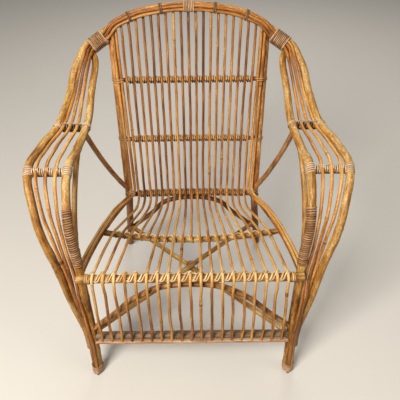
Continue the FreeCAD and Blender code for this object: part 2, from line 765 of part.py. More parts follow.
# Origin in the middle of the box, then one file for each piece
front_edge = leg_point(FLOOR_Z).y - ROD_SEAT - HOOP_ROD_D / 2 - CANE_D
back_edge = CREST_Y + POLE_D / 2 + CANE_D + 0.35
shift = V(0, -(front_edge + back_edge) / 2, -FLOOR_Z)
os.makedirs("parts", exist_ok=True)
for name, shape in shapes.items():
    shape.translate(shift)
    shape.exportStep("parts/%s.step" % name)
    if not shape.isValid():
        print("not valid", name)
box = Part.Compound(list(shapes.values())).BoundBox
print(len(shapes), "pieces, size", round(box.XLength), round(box.YLength), round(box.ZLength))
print("shift", round(shift.y, 2), "z from", round(box.ZMin, 2))
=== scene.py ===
# %% [markdown]
# # A rattan armchair
# The chair is made of one material in three sizes: stout rattan poles, thin rattan rods,
# and strips of split cane that tie them together. Nothing on it is flat, so the whole
# scene is made of lines that get a thickness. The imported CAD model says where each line
# runs; Geometry Nodes then give each line the skin, the growth rings and the small
# crookedness of real rattan, and wind the cane round it.

# %% Load the frame
import heapq
import json
import math
import random

import bpy
import numpy as np
from mathutils import Matrix, Vector

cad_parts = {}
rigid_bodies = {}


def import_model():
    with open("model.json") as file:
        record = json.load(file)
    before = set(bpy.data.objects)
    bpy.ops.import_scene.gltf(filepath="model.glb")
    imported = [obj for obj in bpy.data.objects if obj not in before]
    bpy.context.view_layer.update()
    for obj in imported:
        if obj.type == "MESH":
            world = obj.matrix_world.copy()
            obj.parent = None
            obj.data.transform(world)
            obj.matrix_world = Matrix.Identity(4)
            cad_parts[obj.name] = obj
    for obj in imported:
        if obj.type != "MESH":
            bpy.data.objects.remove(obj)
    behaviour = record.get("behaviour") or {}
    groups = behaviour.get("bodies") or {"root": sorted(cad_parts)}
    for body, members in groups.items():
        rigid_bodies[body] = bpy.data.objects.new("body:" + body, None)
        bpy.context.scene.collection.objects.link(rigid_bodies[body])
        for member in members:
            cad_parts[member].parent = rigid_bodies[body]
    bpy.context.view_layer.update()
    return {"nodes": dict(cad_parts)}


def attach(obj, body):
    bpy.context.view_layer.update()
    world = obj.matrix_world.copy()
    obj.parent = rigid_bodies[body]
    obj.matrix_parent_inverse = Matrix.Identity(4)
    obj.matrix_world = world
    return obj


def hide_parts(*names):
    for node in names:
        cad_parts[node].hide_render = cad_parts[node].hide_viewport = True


for thing in list(bpy.data.objects):
    bpy.data.objects.remove(thing)
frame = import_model()

# %% [markdown]
# ## Radii
# All sizes are in metres. These are the radii of the CAD poles and rods. They could be
# measured on each mesh, but the chair has only a few of them, so they are written once. The
# centre lines need them, and so do the windings that go round the poles.

# %% Radii
POST, RAIL, POLE, SEAT_BAR, BAR = 0.0110, 0.0105, 0.0100, 0.0085, 0.0080
BRACE, PROP, CROSS, APRON_ROD = 0.0075, 0.0070, 0.0065, 0.0050
ROD, SPINDLE = 0.00425, 0.00375
print("radii from", SPINDLE, "to", POST)

# %% [markdown]
# ## Finding the line inside each pole
# A CAD pole arrives as a mesh of triangles with smooth corner normals. On a round pole
# every normal points straight away from the centre line, so a corner stepped back along
# its normal by the pole's radius lands on that line. All corners of one ring land on one
# spot. The end caps and the shaped joints don't, and are left out: there, two corners stay
# as far apart as they were. The normals of a ring also give the direction of the line,
# as the one direction that is square to them all. Spots are put in order by their distance
# from one end, found by stepping from neighbour to neighbour.

# %% Centre lines
WELD = 1e-4         # spots nearer than this are one spot
BRIDGE = 0.0025     # spots nearer than this are neighbours
STRAIGHT = 0.0008   # a rod that strays less than this is straight
SCRAP = 0.02        # a shorter run is not a rod
KNOT_GAP = 0.0015   # least way from one knot of a line to the next
END_SLACK = 0.0005  # an end that reaches no farther is left as it is
BENT_END = 0.01     # an end that reaches farther may bend
STEP = 0.0035       # way from one point of a finished line to the next
LINES = {}


def unit(v):
    return v / np.linalg.norm(v)


def axis_spots(node, radius):
    """Spots on the centre line, the direction at each, which are sure, and neighbours."""
    mesh = frame["nodes"][node].data
    normal = np.empty(len(mesh.loops) * 3)
    mesh.corner_normals.foreach_get("vector", normal)
    corner = np.empty(len(mesh.loops), dtype=np.int32)
    mesh.loops.foreach_get("vertex_index", corner)
    place = np.empty(len(mesh.vertices) * 3)
    mesh.vertices.foreach_get("co", place)
    place = place.reshape(-1, 3)[corner].reshape(-1, 3, 3)
    normal = normal.reshape(-1, 3, 3)
    # On the wall of a pole one side of each triangle shrinks, and no side grows
    axis = place - radius * normal
    before = np.linalg.norm(place - np.roll(place, 1, 1), axis=2)
    after = np.linalg.norm(axis - np.roll(axis, 1, 1), axis=2)
    wall = ((after < 0.5 * before) & (before > WELD)).any(axis=1)
    wall &= (after < 1.02 * before + WELD).all(axis=1)
    axis, normal = axis[wall].reshape(-1, 3), normal[wall].reshape(-1, 3)
    spots, which = np.unique(np.round(axis / WELD).astype(np.int64), axis=0, return_inverse=True)
    which = which.reshape(-1)
    # The direction square to a ring's normals is the one in which they spread least
    spread = np.zeros((len(spots), 3, 3))
    np.add.at(spread, which, normal[:, :, None] * normal[:, None, :])
    size, turn = np.linalg.eigh(spread)
    # A spot is sure if its normals lie in one plane and go all round
    sure = (size[:, 1] > 0.05 * size[:, 2]) & (size[:, 0] < 0.01 * size[:, 2])
    corners = which.reshape(-1, 3)
    pairs = np.concatenate([corners[:, [0, 1]], corners[:, [1, 2]], corners[:, [2, 0]]])
    spots = spots * WELD
    gaps = np.linalg.norm(spots[:, None] - spots[None], axis=2)
    pairs = np.concatenate([pairs, np.argwhere(gaps < BRIDGE)])
    links = [[] for _ in spots]
    for a, b in np.unique(np.sort(pairs[pairs[:, 0] != pairs[:, 1]], axis=1), axis=0):
        links[a].append(b)
        links[b].append(a)
    return spots, turn[:, :, 0], sure, links


def distances(start, links, spots):
    """Distance along the line from one spot to every spot that it is joined to."""
    reached = {}
    queue = [(0.0, start)]
    while queue:
        far, spot = heapq.heappop(queue)
        if spot in reached:
            continue
        reached[spot] = far
        for other in links[spot]:
            if other not in reached:
                step = float(np.linalg.norm(spots[spot] - spots[other]))
                heapq.heappush(queue, (far + step, other))
    return reached


def smooth_line(spots, headings):
    """Points at even steps along a curve through the spots with the given headings."""
    points = [spots[0]]
    for p, q, t, u in zip(spots, spots[1:], headings, headings[1:]):
        reach = np.linalg.norm(q - p)
        count = max(1, int(math.ceil(reach / STEP)))
        for i in range(1, count + 1):
            k = i / count
            a, b = 2 * k**3 - 3 * k**2 + 1, k**3 - 2 * k**2 + k
            c, d = 3 * k**2 - 2 * k**3, k**3 - k**2
            points.append(a * p + b * reach * t + c * q + d * reach * u)
    return np.array(points)


def straight_line(spots):
    """Line through spots that lie on one straight run, or None if they don't."""
    middle = np.median(spots, axis=0)
    heading = np.linalg.svd(spots - middle, full_matrices=False)[2][0]
    way = (spots - middle) @ heading
    if np.linalg.norm(spots - middle - np.outer(way, heading), axis=1).max() >= STRAIGHT:
        return None
    return smooth_line([middle + heading * way.min(), middle + heading * way.max()], [heading] * 2)


def bent_line(far, spots, turns, sure):
    """Line through the sure spots of one rod, taken on to its cut ends."""
    knots = []
    for way, spot in sorted((way, spot) for spot, way in far.items() if sure[spot]):
        if not knots or way - knots[-1][0] >= KNOT_GAP:
            knots.append((way, spot))
    places = [spots[spot] for way, spot in knots]
    headings = []
    for i, (way, spot) in enumerate(knots):
        ahead = unit(places[min(i + 1, len(knots) - 1)] - places[max(i - 1, 0)])
        turn = turns[spot] if turns[spot] @ ahead > 0 else -turns[spot]
        headings.append(turn if turn @ ahead > 0.9 else ahead)
    before = [spots[spot] for spot, way in far.items() if way < knots[0][0]]
    after = [spots[spot] for spot, way in far.items() if way > knots[-1][0]]
    for rest, at, sign in ((before, 0, -1.0), (after, -1, 1.0)):
        rest = np.array(rest).reshape(-1, 3)
        reach = (rest - places[at]) @ headings[at] * sign
        if len(rest) == 0 or reach.max() < END_SLACK:
            continue
        end, heading = places[at] + headings[at] * sign * reach.max(), headings[at]
        if reach.max() > BENT_END:
            end = rest[reach.argmax()]
            heading = unit((end - places[at]) * sign)
        places.insert(0 if sign < 0 else len(places), end)
        headings.insert(0 if sign < 0 else len(headings), heading)
    return smooth_line(places, headings)


def centre_lines(node, radius):
    """One row of points for each rod in a CAD node; LINES keeps them."""
    spots, turns, sure, links = axis_spots(node, radius)
    line = straight_line(spots)
    LINES[node] = [] if line is None else [line]
    seen = set()
    for first in range(len(spots)) if line is None else ():
        if first in seen:
            continue
        far = distances(first, links, spots)
        seen.update(far)
        far = distances(max(far, key=far.get), links, spots)
        if max(far.values()) >= SCRAP:
            LINES[node].append(bent_line(far, spots, turns, sure))
    return LINES[node]


# %% [markdown]
# ## Small helpers for node trees
# Geometry and material trees are built with the same few helpers: put a node with its
# inputs, do sums, and blend colours. An input takes a value or another node's output.

# %% Node helpers
class Nodes:
    """A node tree with short ways to add to it."""

    def __init__(self, tree):
        self.tree = tree

    def feed(self, socket, value):
        """Links an output into the socket, or sets its value."""
        if isinstance(value, bpy.types.NodeSocket):
            self.tree.links.new(value, socket)
        else:
            socket.default_value = value

    def put(self, kind, inputs=None, **settings):
        """Adds a node, with settings first and inputs after them; returns its outputs."""
        node = self.tree.nodes.new(kind)
        for key, value in settings.items():
            setattr(node, key, value)
        for key, value in (inputs or {}).items():
            self.feed(node.inputs[key], value)
        return node.outputs

    def shape(self, kind, geometry, inputs=None, **settings):
        """Geometry after one more geometry node."""
        return self.put(kind, {0: geometry, **(inputs or {})}, **settings)[0]

    def calc(self, operation, *values):
        """Result of one sum."""
        return self.put("ShaderNodeMath", dict(enumerate(values)), operation=operation)[0]

    def vector(self, operation, first, second):
        """Result of one sum on vectors."""
        return self.put("ShaderNodeVectorMath", {0: first, 1: second}, operation=operation)[0]

    def joined(self, x=0.0, y=0.0, z=0.0):
        """Vector from three numbers."""
        return self.put("ShaderNodeCombineXYZ", {0: x, 1: y, 2: z})[0]

    def mixed(self, share, first, second):
        """Colour between two colours."""
        return self.put("ShaderNodeMix", {0: share, 6: first, 7: second}, data_type="RGBA")[2]

    def span(self, value, low, high):
        """Value stretched so that low gives 0 and high gives 1, kept between them."""
        return self.put("ShaderNodeMapRange", {"Value": value, "From Min": low, "From Max": high})[0]

    def named(self, label, kind="FLOAT"):
        """Value that the line's points carry, for a geometry tree."""
        return self.put("GeometryNodeInputNamedAttribute", {"Name": label}, data_type=kind)["Attribute"]

    def fact(self, label, output="Fac"):
        """Number or vector that the mesh carries, for a material."""
        return self.put("ShaderNodeAttribute", attribute_name=label)[output]

    def store(self, geometry, label, value, kind="FLOAT"):
        """Geometry whose points carry one more value."""
        return self.shape("GeometryNodeStoreNamedAttribute", geometry, {
            "Name": label, "Value": value}, data_type=kind, domain="POINT")

    def close(self, geometry, material):
        """End of a geometry tree: a plain mesh with its material."""
        geometry = self.shape("GeometryNodeRealizeInstances", geometry)
        geometry = self.shape("GeometryNodeSetMaterial", geometry, {"Material": material})
        self.put("NodeGroupOutput", {"Geometry": geometry})
        print("tree", self.tree.name, "has", len(self.tree.nodes), "nodes")
        return self.tree


# %% Helpers for pieces
def paint(code):
    """Colour from a screen code such as c08040, as the renderer counts light."""
    parts = [int(code[i:i + 2], 16) / 255 for i in (0, 2, 4)]
    return [c / 12.92 if c < 0.04045 else ((c + 0.055) / 1.055) ** 2.4 for c in parts] + [1.0]


def new_tree(name, **sockets):
    """Empty geometry tree with named inputs, and what its input node gives."""
    tree = bpy.data.node_groups.new(name, "GeometryNodeTree")
    tree.interface.new_socket("Geometry", in_out="OUTPUT", socket_type="NodeSocketGeometry")
    tree.interface.new_socket("Geometry", in_out="INPUT", socket_type="NodeSocketGeometry")
    for label, kind in sockets.items():
        tree.interface.new_socket(label, in_out="INPUT", socket_type="NodeSocket" + kind)
    return Nodes(tree), tree.nodes.new("NodeGroupInput").outputs


def shown(thing):
    """Puts an object into the scene."""
    bpy.context.scene.collection.objects.link(thing)
    return thing


def made(name, mesh, tree, slot, nodes, **values):
    """Piece that a tree makes from a line mesh, tied to the CAD nodes that it stands for."""
    draft = shown(bpy.data.objects.new(name + "_line", mesh))
    modifier = draft.modifiers.new("tree", "NODES")
    modifier.node_group = tree
    for item in tree.interface.items_tree:
        if item.item_type == "SOCKET" and item.in_out == "INPUT" and item.name in values:
            modifier[item.identifier] = values[item.name]
    bpy.context.view_layer.update()
    ready = draft.evaluated_get(bpy.context.evaluated_depsgraph_get())
    result = bpy.data.meshes.new_from_object(ready)
    bpy.data.objects.remove(draft)
    result.name = name
    piece = shown(bpy.data.objects.new(name, result))
    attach(piece, "root")
    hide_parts(*nodes)
    count = len(result.loops) - 2 * len(result.polygons)
    print(name, "stands for", len(nodes), "nodes with", count, "triangles")


# %% [markdown]
# ## The rattan tree
# Rattan is a climbing palm. Its stem has a growth ring every hand or two: a slight
# swelling with a dark line, because a leaf sheath sat there. Between the rings the skin
# is smooth, and no stem is quite straight. One tree makes all of it. It takes a bare line,
# swells it near the rings, bends it a little with a seeded noise, and sweeps a circle along
# it. A plain curve bevel would give the tube but not the rings, and the tree also keeps on
# each point how far along and how far round it lies, so that the finish can run its streaks
# along the stem.

# %% Geometry tree for poles and rods
SPACING_CHANGE, SPACING_SHIFT = 2.3, 0.9              # how uneven the ring spacing is
BEND_SCALE, BEND_DETAIL, BEND_APART = 7.0, 0.8, 31.0  # noise that bends the stems
SHARP = 1.0                                           # a fold over this, in radians, is an edge


def rattan_tree():
    tree, given = new_tree("rattan_stem", Sides="Int", Spacing="Float", Swell="Float", Ring="Float",
                           Wander="Float", Seed="Float", Material="Material")
    line = tree.shape("GeometryNodeMeshToCurve", given["Geometry"])
    along, rod = tree.named("along"), tree.named("rod")
    # How near each point is to the middle of a growth ring
    drawn = tree.calc("MULTIPLY_ADD", along, SPACING_CHANGE, rod)
    shift = tree.put("ShaderNodeTexNoise", {"W": drawn}, noise_dimensions="1D")[0]
    shift = tree.calc("ADD", tree.calc("MULTIPLY", shift, SPACING_SHIFT), rod)
    cycle = tree.calc("ADD", tree.calc("DIVIDE", along, given["Spacing"]), shift)
    off = tree.calc("ABSOLUTE", tree.calc("SUBTRACT", tree.calc("FRACT", cycle), 0.5))
    near = tree.calc("DIVIDE", tree.calc("MULTIPLY", off, given["Spacing"]), given["Ring"])
    ring = tree.calc("EXPONENT", tree.calc("MULTIPLY", tree.calc("MULTIPLY", near, near), -1.0))
    fat = tree.calc("MULTIPLY_ADD", ring, given["Swell"], tree.named("size"))
    # Small crookedness, different on each stem
    place = tree.put("GeometryNodeInputPosition")[0]
    where = tree.vector("ADD", place, tree.joined(tree.calc("MULTIPLY", rod, BEND_APART), given["Seed"]))
    drift = tree.put("ShaderNodeTexNoise", {
        "Vector": where, "Scale": BEND_SCALE, "Detail": BEND_DETAIL})["Color"]
    drift = tree.vector("SUBTRACT", drift, (0.5, 0.5, 0.5))
    amount = tree.calc("MULTIPLY", given["Wander"], tree.named("loose"))
    drift = tree.put("ShaderNodeVectorMath", {0: drift, "Scale": amount}, operation="SCALE")[0]
    line = tree.shape("GeometryNodeSetPosition", tree.store(line, "ring", ring), {"Offset": drift})
    # The skin
    circle = tree.put("GeometryNodeCurvePrimitiveCircle", {"Resolution": given["Sides"], "Radius": 1.0})[0]
    circle = tree.store(circle, "round", place, "FLOAT_VECTOR")
    skin = tree.shape("GeometryNodeCurveToMesh", line, {
        "Profile Curve": circle, "Scale": fat, "Fill Caps": True})
    # Feet are cut flat on the floor
    x, y, z = tree.put("ShaderNodeSeparateXYZ", {0: place})
    flat = tree.joined(x, y, tree.calc("MAXIMUM", z, 0.0))
    skin = tree.shape("GeometryNodeSetPosition", skin, {"Position": flat})
    fold = tree.put("GeometryNodeInputMeshEdgeAngle")[0]
    skin = tree.shape("GeometryNodeSetShadeSmooth", skin, {"Shade Smooth": True})
    skin = tree.shape("GeometryNodeSetShadeSmooth", skin, {
        "Selection": tree.calc("GREATER_THAN", fold, SHARP), "Shade Smooth": False}, domain="EDGE")
    return tree.close(skin, given["Material"])


RATTAN = rattan_tree()

# %% [markdown]
# ## The lines that the trees follow
# A line mesh is points and edges, with a few numbers on each point: the way along the
# stem, a number that differs from stem to stem, the radius there, a tone from brown to
# gold, and how free the stem is to wander. The radius falls off over the last two
# millimetres, because cut ends are rounded by hand.

# %% Line meshes
END_STEPS = (0.0005, 0.0016)        # places of the extra points near an end
END_FALL, END_SHARE = 0.0008, 0.16  # how fast and how much the radius falls there
END_HOLD = 0.03                     # length over which an end is held from wandering
# Least radius, and how many corners go round such a stem
ROUNDNESS = ((POLE, 20), (PROP, 16), (APRON_ROD, 14), (ROD, 12), (0.0, 10))


def line_mesh(name, rows, numbers):
    """Mesh of open chains; numbers maps each attribute to one list for every row."""
    points, edges = [], []
    for row in rows:
        edges += [(len(points) + i, len(points) + i + 1) for i in range(len(row) - 1)]
        points += [tuple(p) for p in row]
    mesh = bpy.data.meshes.new(name + "_line")
    mesh.from_pydata(points, edges, [])
    for label, values in numbers.items():
        flat = np.concatenate([np.asarray(v, dtype=np.float32) for v in values])
        kind, field = ("FLOAT_VECTOR", "vector") if flat.ndim == 2 else ("FLOAT", "value")
        mesh.attributes.new(label, kind, "POINT").data.foreach_set(field, flat.reshape(-1))
    return mesh


def run_length(row):
    """Way along a row of points."""
    return np.concatenate([[0.0], np.cumsum(np.linalg.norm(np.diff(row, axis=0), axis=1))])


def with_ends(row):
    """The row with extra points just inside its two ends."""
    first, last = unit(row[1] - row[0]), unit(row[-2] - row[-1])
    head = [row[0]] + [row[0] + first * step for step in END_STEPS]
    tail = [row[-1]] + [row[-1] + last * step for step in END_STEPS]
    return np.array(head + list(row[1:-1]) + tail[::-1])


def ordered(line, axis):
    """The row, turned so that it runs up one of the three axes."""
    return line if line[0][axis] < line[-1][axis] else line[::-1]


def both(stem):
    return [stem + "_left", stem + "_right"]


def rods(name, nodes, radius, finish, slot, seed, tone, spacing, wander, swell=0.0006, ring=0.004,
         taper=None, free=None, longer=None):
    """Piece made of all the rods in some CAD nodes; longer maps a node to metres at its top."""
    luck = random.Random(int(seed * 100))
    rows, numbers = [], {k: [] for k in ("along", "rod", "size", "tone", "loose")}
    for node in nodes:
        for line in centre_lines(node, radius):
            if longer and node in longer:
                line = ordered(line, 2)
                line[-1] += unit(line[-1] - line[-2]) * longer[node]
            row = with_ends(line)
            way = run_length(row)
            rim = np.minimum(way, way[-1] - way)
            size = radius * (1 - END_SHARE * np.exp(-(rim / END_FALL)))
            size = size * np.array([taper(p) if taper else 1.0 for p in row])
            loose = np.array([free(p) if free else 1.0 for p in row])
            rows.append(row)
            numbers["along"].append(way + luck.uniform(0, 5))
            numbers["rod"].append(np.full(len(row), luck.random()))
            numbers["size"].append(size)
            numbers["tone"].append([tone(p) if callable(tone) else tone for p in row])
            numbers["loose"].append(np.clip(rim / END_HOLD, 0, 1) * loose)
    sides = next(count for least, count in ROUNDNESS if radius >= least)
    made(name, line_mesh(name, rows, numbers), RATTAN, slot, nodes, Sides=sides, Spacing=spacing,
         Swell=swell, Ring=ring, Wander=wander, Seed=seed, Material=finish)


# %% [markdown]
# ## The rattan finish
# Varnished rattan is honey coloured where light goes into the skin, red-brown where old
# varnish lies thick, and pale where hands have rubbed it away. The streaks run along the
# stem, so the pattern is laid out in the stem's own terms: round and along, not in space.
# Long noise makes the patches, narrow noise makes the streaks, and small noise makes pale
# flakes where the varnish is worn. The growth rings get a dark line with a paler band
# beside it. The shine varies with the streaks too.

# %% Rattan materials
STEM_APART = 47.0
# Each noise is told by how often it changes around and along, a shift, detail and roughness
PATCH, STREAK = (0.6, 13.0, 0, 2.5, 0.55), (2.2, 34.0, 9, 3.0, 0.6)
FINE, FLAKE = (6.0, 110.0, 17, 2.0, 0.6), (2.2, 190.0, 29, 3.0, 0.6)


class Finish(Nodes):
    """Material, with noises that follow the stem."""

    def __init__(self, name, seed=0.0):
        self.material = bpy.data.materials.new(name)
        self.material.use_nodes = True
        self.seed = seed
        super().__init__(self.material.node_tree)

    def grain(self, around, along, shift, detail, rough):
        """Noise in the stem's own terms."""
        ring = self.vector("MULTIPLY", self.fact("round", "Vector"), (around, around, 0.0))
        way = self.calc("MULTIPLY", self.fact("along"), along)
        apart = self.calc("MULTIPLY_ADD", self.fact("rod"), STEM_APART, self.seed + shift)
        place = self.vector("ADD", ring, self.joined(z=self.calc("ADD", way, apart)))
        return self.put("ShaderNodeTexNoise", {
            "Vector": place, "Scale": 1.0, "Detail": detail, "Roughness": rough})[0]

    def uneven(self, share, *grains):
        """Value made uneven by noises, each with its strength."""
        for grain, strength in grains:
            share = self.calc("MULTIPLY_ADD", self.calc("SUBTRACT", grain, 0.5), strength, share)
        return share

    def ramp(self, share, *stops):
        """Colour from a row of (position, colour) stops."""
        node = self.tree.nodes.new("ShaderNodeValToRGB")
        self.feed(node.inputs["Fac"], share)
        while len(node.color_ramp.elements) < len(stops):
            node.color_ramp.elements.new(0.5)
        for element, (position, colour) in zip(node.color_ramp.elements, stops):
            element.position = position
            element.color = colour
        return node.outputs[0]

    def shade(self, inputs):
        """The material, with these inputs of its shader."""
        for label, value in inputs.items():
            self.feed(self.tree.nodes["Principled BSDF"].inputs[label], value)
        return self.material

    def varnish(self, colour, dull, height, strength, depth, coat, coat_dull):
        """The material, with a colour, a roughness, a bump and a thin coat."""
        bump = {"Strength": strength, "Distance": depth, "Height": height}
        return self.shade({
            "Base Color": colour, "Roughness": dull, "Normal": self.put("ShaderNodeBump", bump)[0],
            "Specular IOR Level": 0.35, "Coat Weight": coat, "Coat Roughness": coat_dull})


def rattan_finish(name, codes, gloss, seed, spread=0.24, rings=0.4, wear=0.7):
    """Skin from brown, honey, gold, worn and ring colours; spread is how much stems differ."""
    brown, honey, gold, worn, dark = (paint(code) for code in codes.split())
    tree = Finish(name, seed)
    patch, streak, fine, flake = (tree.grain(*layout) for layout in (PATCH, STREAK, FINE, FLAKE))
    apart = tree.calc("MULTIPLY_ADD", tree.fact("rod"), spread, -spread / 2)
    share = tree.calc("ADD", tree.fact("tone"), apart)
    share = tree.uneven(share, (patch, 1.6), (streak, 1.2), (fine, 0.8))
    skin = tree.ramp(tree.calc("MULTIPLY", share, 0.7),
                     (0.0, brown), (0.32, honey), (0.62, gold), (1.0, worn))
    # Flakes of worn varnish, mostly where the tone is light
    rubbed = tree.calc("MULTIPLY", tree.span(flake, 0.53, 0.60), tree.span(share, 0.42, 0.80))
    skin = tree.mixed(tree.calc("MULTIPLY", rubbed, wear), skin, worn)
    # The pale band and the dark line of a growth ring
    ring = tree.fact("ring")
    skin = tree.mixed(tree.calc("MULTIPLY", tree.span(ring, 0.12, 0.6), 0.3 * rings), skin, gold)
    line = tree.calc("MULTIPLY", tree.span(ring, 0.80, 0.97), tree.span(streak, 0.3, 0.5))
    skin = tree.mixed(tree.calc("MULTIPLY", line, rings), skin, dark)
    dull = tree.calc("MULTIPLY_ADD", streak, 0.26, gloss - 0.13)
    dull = tree.calc("MULTIPLY_ADD", rubbed, 0.12, dull)
    height = tree.calc("MULTIPLY_ADD", fine, 0.5, tree.calc("MULTIPLY", streak, 0.7))
    height = tree.calc("MULTIPLY_ADD", line, -0.8 * rings, height)
    height = tree.calc("MULTIPLY_ADD", rubbed, -0.4, height)
    return tree.varnish(skin, dull, height, strength=0.35, depth=0.0006, coat=0.05, coat_dull=0.3)


# %% Rattan skins
pole_skin = rattan_finish("honey_pole", "5e340c a67028 c8a05a e8d0a8 4a2a12", 0.52, 1.0,
                          rings=0.25, wear=0.65)
rod_skin = rattan_finish("amber_rod", "5a3012 a6682c d6983e eac890 381a06", 0.48, 2.0,
                         spread=0.36, rings=0.8)
post_skin = rattan_finish("orange_post", "5c2c0a a8682c ce9650 e8c494 40210c", 0.46, 3.0)
brace_skin = rattan_finish("brown_brace", "3e1e06 75441c a8743e d0a876 301a0a", 0.5, 4.0)
straw_skin = rattan_finish("straw_rail", "6e4414 ae7e38 dab26a f2deb2 5c3a1a", 0.5, 5.0)
grey_skin = rattan_finish("grey_bar", "54402a 80664a a08464 b89c80 3a2818", 0.6, 6.0)
tan_skin = rattan_finish("tan_rod", "6e3e1e a8744a caa074 e4c8a6 50301c", 0.5, 7.0, rings=0.8)
print("rattan finishes:", len(bpy.data.materials))

# %% [markdown]
# ## The arm poles and the outer hoop
# Two stout poles rise from the front feet, bend over into the arms, and run back and up
# into the shoulder lashings. A second pair runs outside them and goes on over the back as
# the hoop, where the two meet under the crest lashing. They are the poles that hands and
# elbows rub, so the tone turns to gold on top of the arms. Under the wraps it is dark,
# which shows between the turns of cane. A curve with a bevel could follow the same line, but
# its thickness and tone would be set by hand, point by point. Here small functions of the
# place give the tone, and on the arm poles the thickness too: their legs are a little
# stouter than in the CAD model, and they get thinner towards the shoulders.

# %% Arm and hoop poles
WRAP_LOW, WRAP_HIGH = 0.397, 0.540    # heights between which cane covers the arm poles
LEG_SWELL, SHOULDER_FALL = 1.06, 0.14  # legs in shares of POLE, and the fall to the shoulders


def step_up(value, low, high):
    """Soft step from 0 to 1."""
    k = min(1.0, max(0.0, (value - low) / (high - low)))
    return k * k * (3 - 2 * k)


def on_arm(p):
    """1 on top of the arms and 0 on the legs and the hoop."""
    return step_up(p[2], 0.50, 0.60) * (1 - step_up(p[1], 0.10, 0.24))


def arm_tone(p):
    # Under the wraps the pole is painted dark, as shade in the gaps between the turns of cane
    if WRAP_LOW + 0.001 < p[2] < WRAP_HIGH - 0.002 and p[1] < -0.19:
        return 0.0
    leg, foot = step_up(p[2], 0.20, 0.40), 1 - step_up(p[2], 0.0, 0.05)
    return 0.34 + 0.16 * leg + 0.16 * on_arm(p) + 0.16 * foot


def arm_taper(p):
    return LEG_SWELL - SHOULDER_FALL * step_up(p[1], -0.02, 0.26)


def hoop_tone(p):
    side = step_up(p[2], 0.62, 0.72) * (1 - step_up(p[2], 0.80, 0.84))
    crest, leg = step_up(p[2], 0.78, 0.83), 1 - step_up(p[2], 0.20, 0.45)
    return 0.42 + 0.14 * on_arm(p) + 0.24 * side + 0.04 * crest + 0.04 * leg


rods("arm_poles", both("arm_pole"), POLE, pole_skin, "rattan_pole", 1.1, arm_tone,
     spacing=0.21, wander=0.0006, swell=0.0009, ring=0.006, taper=arm_taper)
rods("hoop_poles", both("hoop_pole"), POLE, pole_skin, "rattan_pole", 2.3, hoop_tone,
     spacing=0.23, wander=0.0006, swell=0.0009, ring=0.006)

# %% [markdown]
# ## The frame of the seat and the back
# Behind the spindles stand the two back posts, which are also the back legs. Rails and bars
# join them to the front legs, and arches and crossed stretchers brace the legs. The CAD
# meshes could be shown as they are, but they have no growth rings and don't know which way
# is along, so each pole is drawn again on its centre line. All fourteen pieces are made in
# the same way, so they are rows of one table.

# %% Posts, rails, bars and braces
# Name, nodes, radius, skin, slot, seed, tone, ring spacing, wander, and some with ring sizes
for row in (
        ("back_posts", both("back_post"), POST, post_skin, "rattan_dark", 6.1,
         lambda p: 0.20 + 0.40 * step_up(p[2], 0.3, 0.45), 0.24, 0.0010, 0.0008, 0.006),
        ("front_rail", ["front_rail"], RAIL, straw_skin, "rattan_pole", 7.4,
         lambda p: 0.32 + 0.25 * step_up(abs(p[0]), 0.262, 0.272), 0.27, 0.0006, 0.0005, 0.006),
        ("side_rails", both("side_rail"), BAR, post_skin, "rattan_pole", 8.2, 0.4, 0.2, 0.0006),
        ("seat_bar", ["seat_bar"], SEAT_BAR, straw_skin, "rattan_pole", 9.3,
         lambda p: 0.50 - 0.35 * step_up(abs(p[0]), 0.10, 0.17), 0.2, 0.0004),
        ("back_bars", ["lower_back_bar"], BAR, brace_skin, "rattan_pole", 10.6, 0.3, 0.2, 0.0004),
        ("back_rods", ["middle_back_rod", "upper_back_rod"], CROSS, brace_skin, "rattan_pole", 11.8, 0.3,
         0.2, 0.0004),
        ("apron_rod", ["apron_rod"], APRON_ROD, tan_skin, "rattan_rod", 12.4, 0.6, 0.12, 0.0016, 0.0007),
        ("lower_front_bar", ["lower_front_bar"], POST, grey_skin, "rattan_dark", 13.9, 0.5, 0.22, 0.0006),
        ("front_arch", ["front_arch"], BRACE, brace_skin, "rattan_pole", 14.2, 0.75, 0.2, 0.0008),
        ("rear_arch", ["rear_arch"], BRACE, brace_skin, "rattan_dark", 15.7, 0.35, 0.2, 0.0008),
        ("stretchers", both("stretcher"), BRACE, straw_skin, "rattan_dark", 16.3,
         lambda p: 0.48 - 0.2 * step_up(p[1], -0.05, 0.2), 0.24, 0.0016),
        ("arm_supports", both("arm_support"), PROP, pole_skin, "rattan_pole", 17.1, 0.5, 0.19, 0.0008),
        ("arm_braces", both("arm_brace"), PROP, brace_skin, "rattan_pole", 18.5, 0.85, 0.2, 0.0008),
        ("arm_bars", both("arm_bar_front") + both("arm_bar_rear"), CROSS, brace_skin, "rattan_pole",
         19.2, 0.1, 0.3, 0.0)):
    rods(*row)

# %% [markdown]
# ## The thin rods between them
# Three thin rods on each side fill the arms. They start at the floor beside the leg, fan
# out over the arm, gather again in the shoulder lashing and then lie on the hoop pole. Thin
# rods stray more than poles do. Bending each one by hand would show it too, but a larger
# wander in the same tree gives every rod bends of its own.

# %% Hoop rods
def hoop_rod_tone(p):
    arm = step_up(p[2], 0.30, 0.60) * (1 - step_up(p[1], 0.1, 0.2))
    return 0.20 + 0.34 * arm + 0.08 * step_up(p[2], 0.78, 0.84)


rods("hoop_rods", both("hoop_rods"), ROD, rod_skin, "rattan_rod", 3.7, hoop_rod_tone,
     spacing=0.17, wander=0.0022, ring=0.0035)

# %% [markdown]
# ## The spindles
# Nineteen thin rods make the back, the seat and the apron in one run. Three of them are
# open between the seat bar and the front rail, where their apron lengths start again.
# The back is red-brown; on the seat and over the front rail clothes have rubbed them golden.
# An array of one rod would be quick, but all would bend alike. The seeded noise bends each
# one differently. It would also pull them off the bars that they are tied to, so a function
# holds them still near each bar.

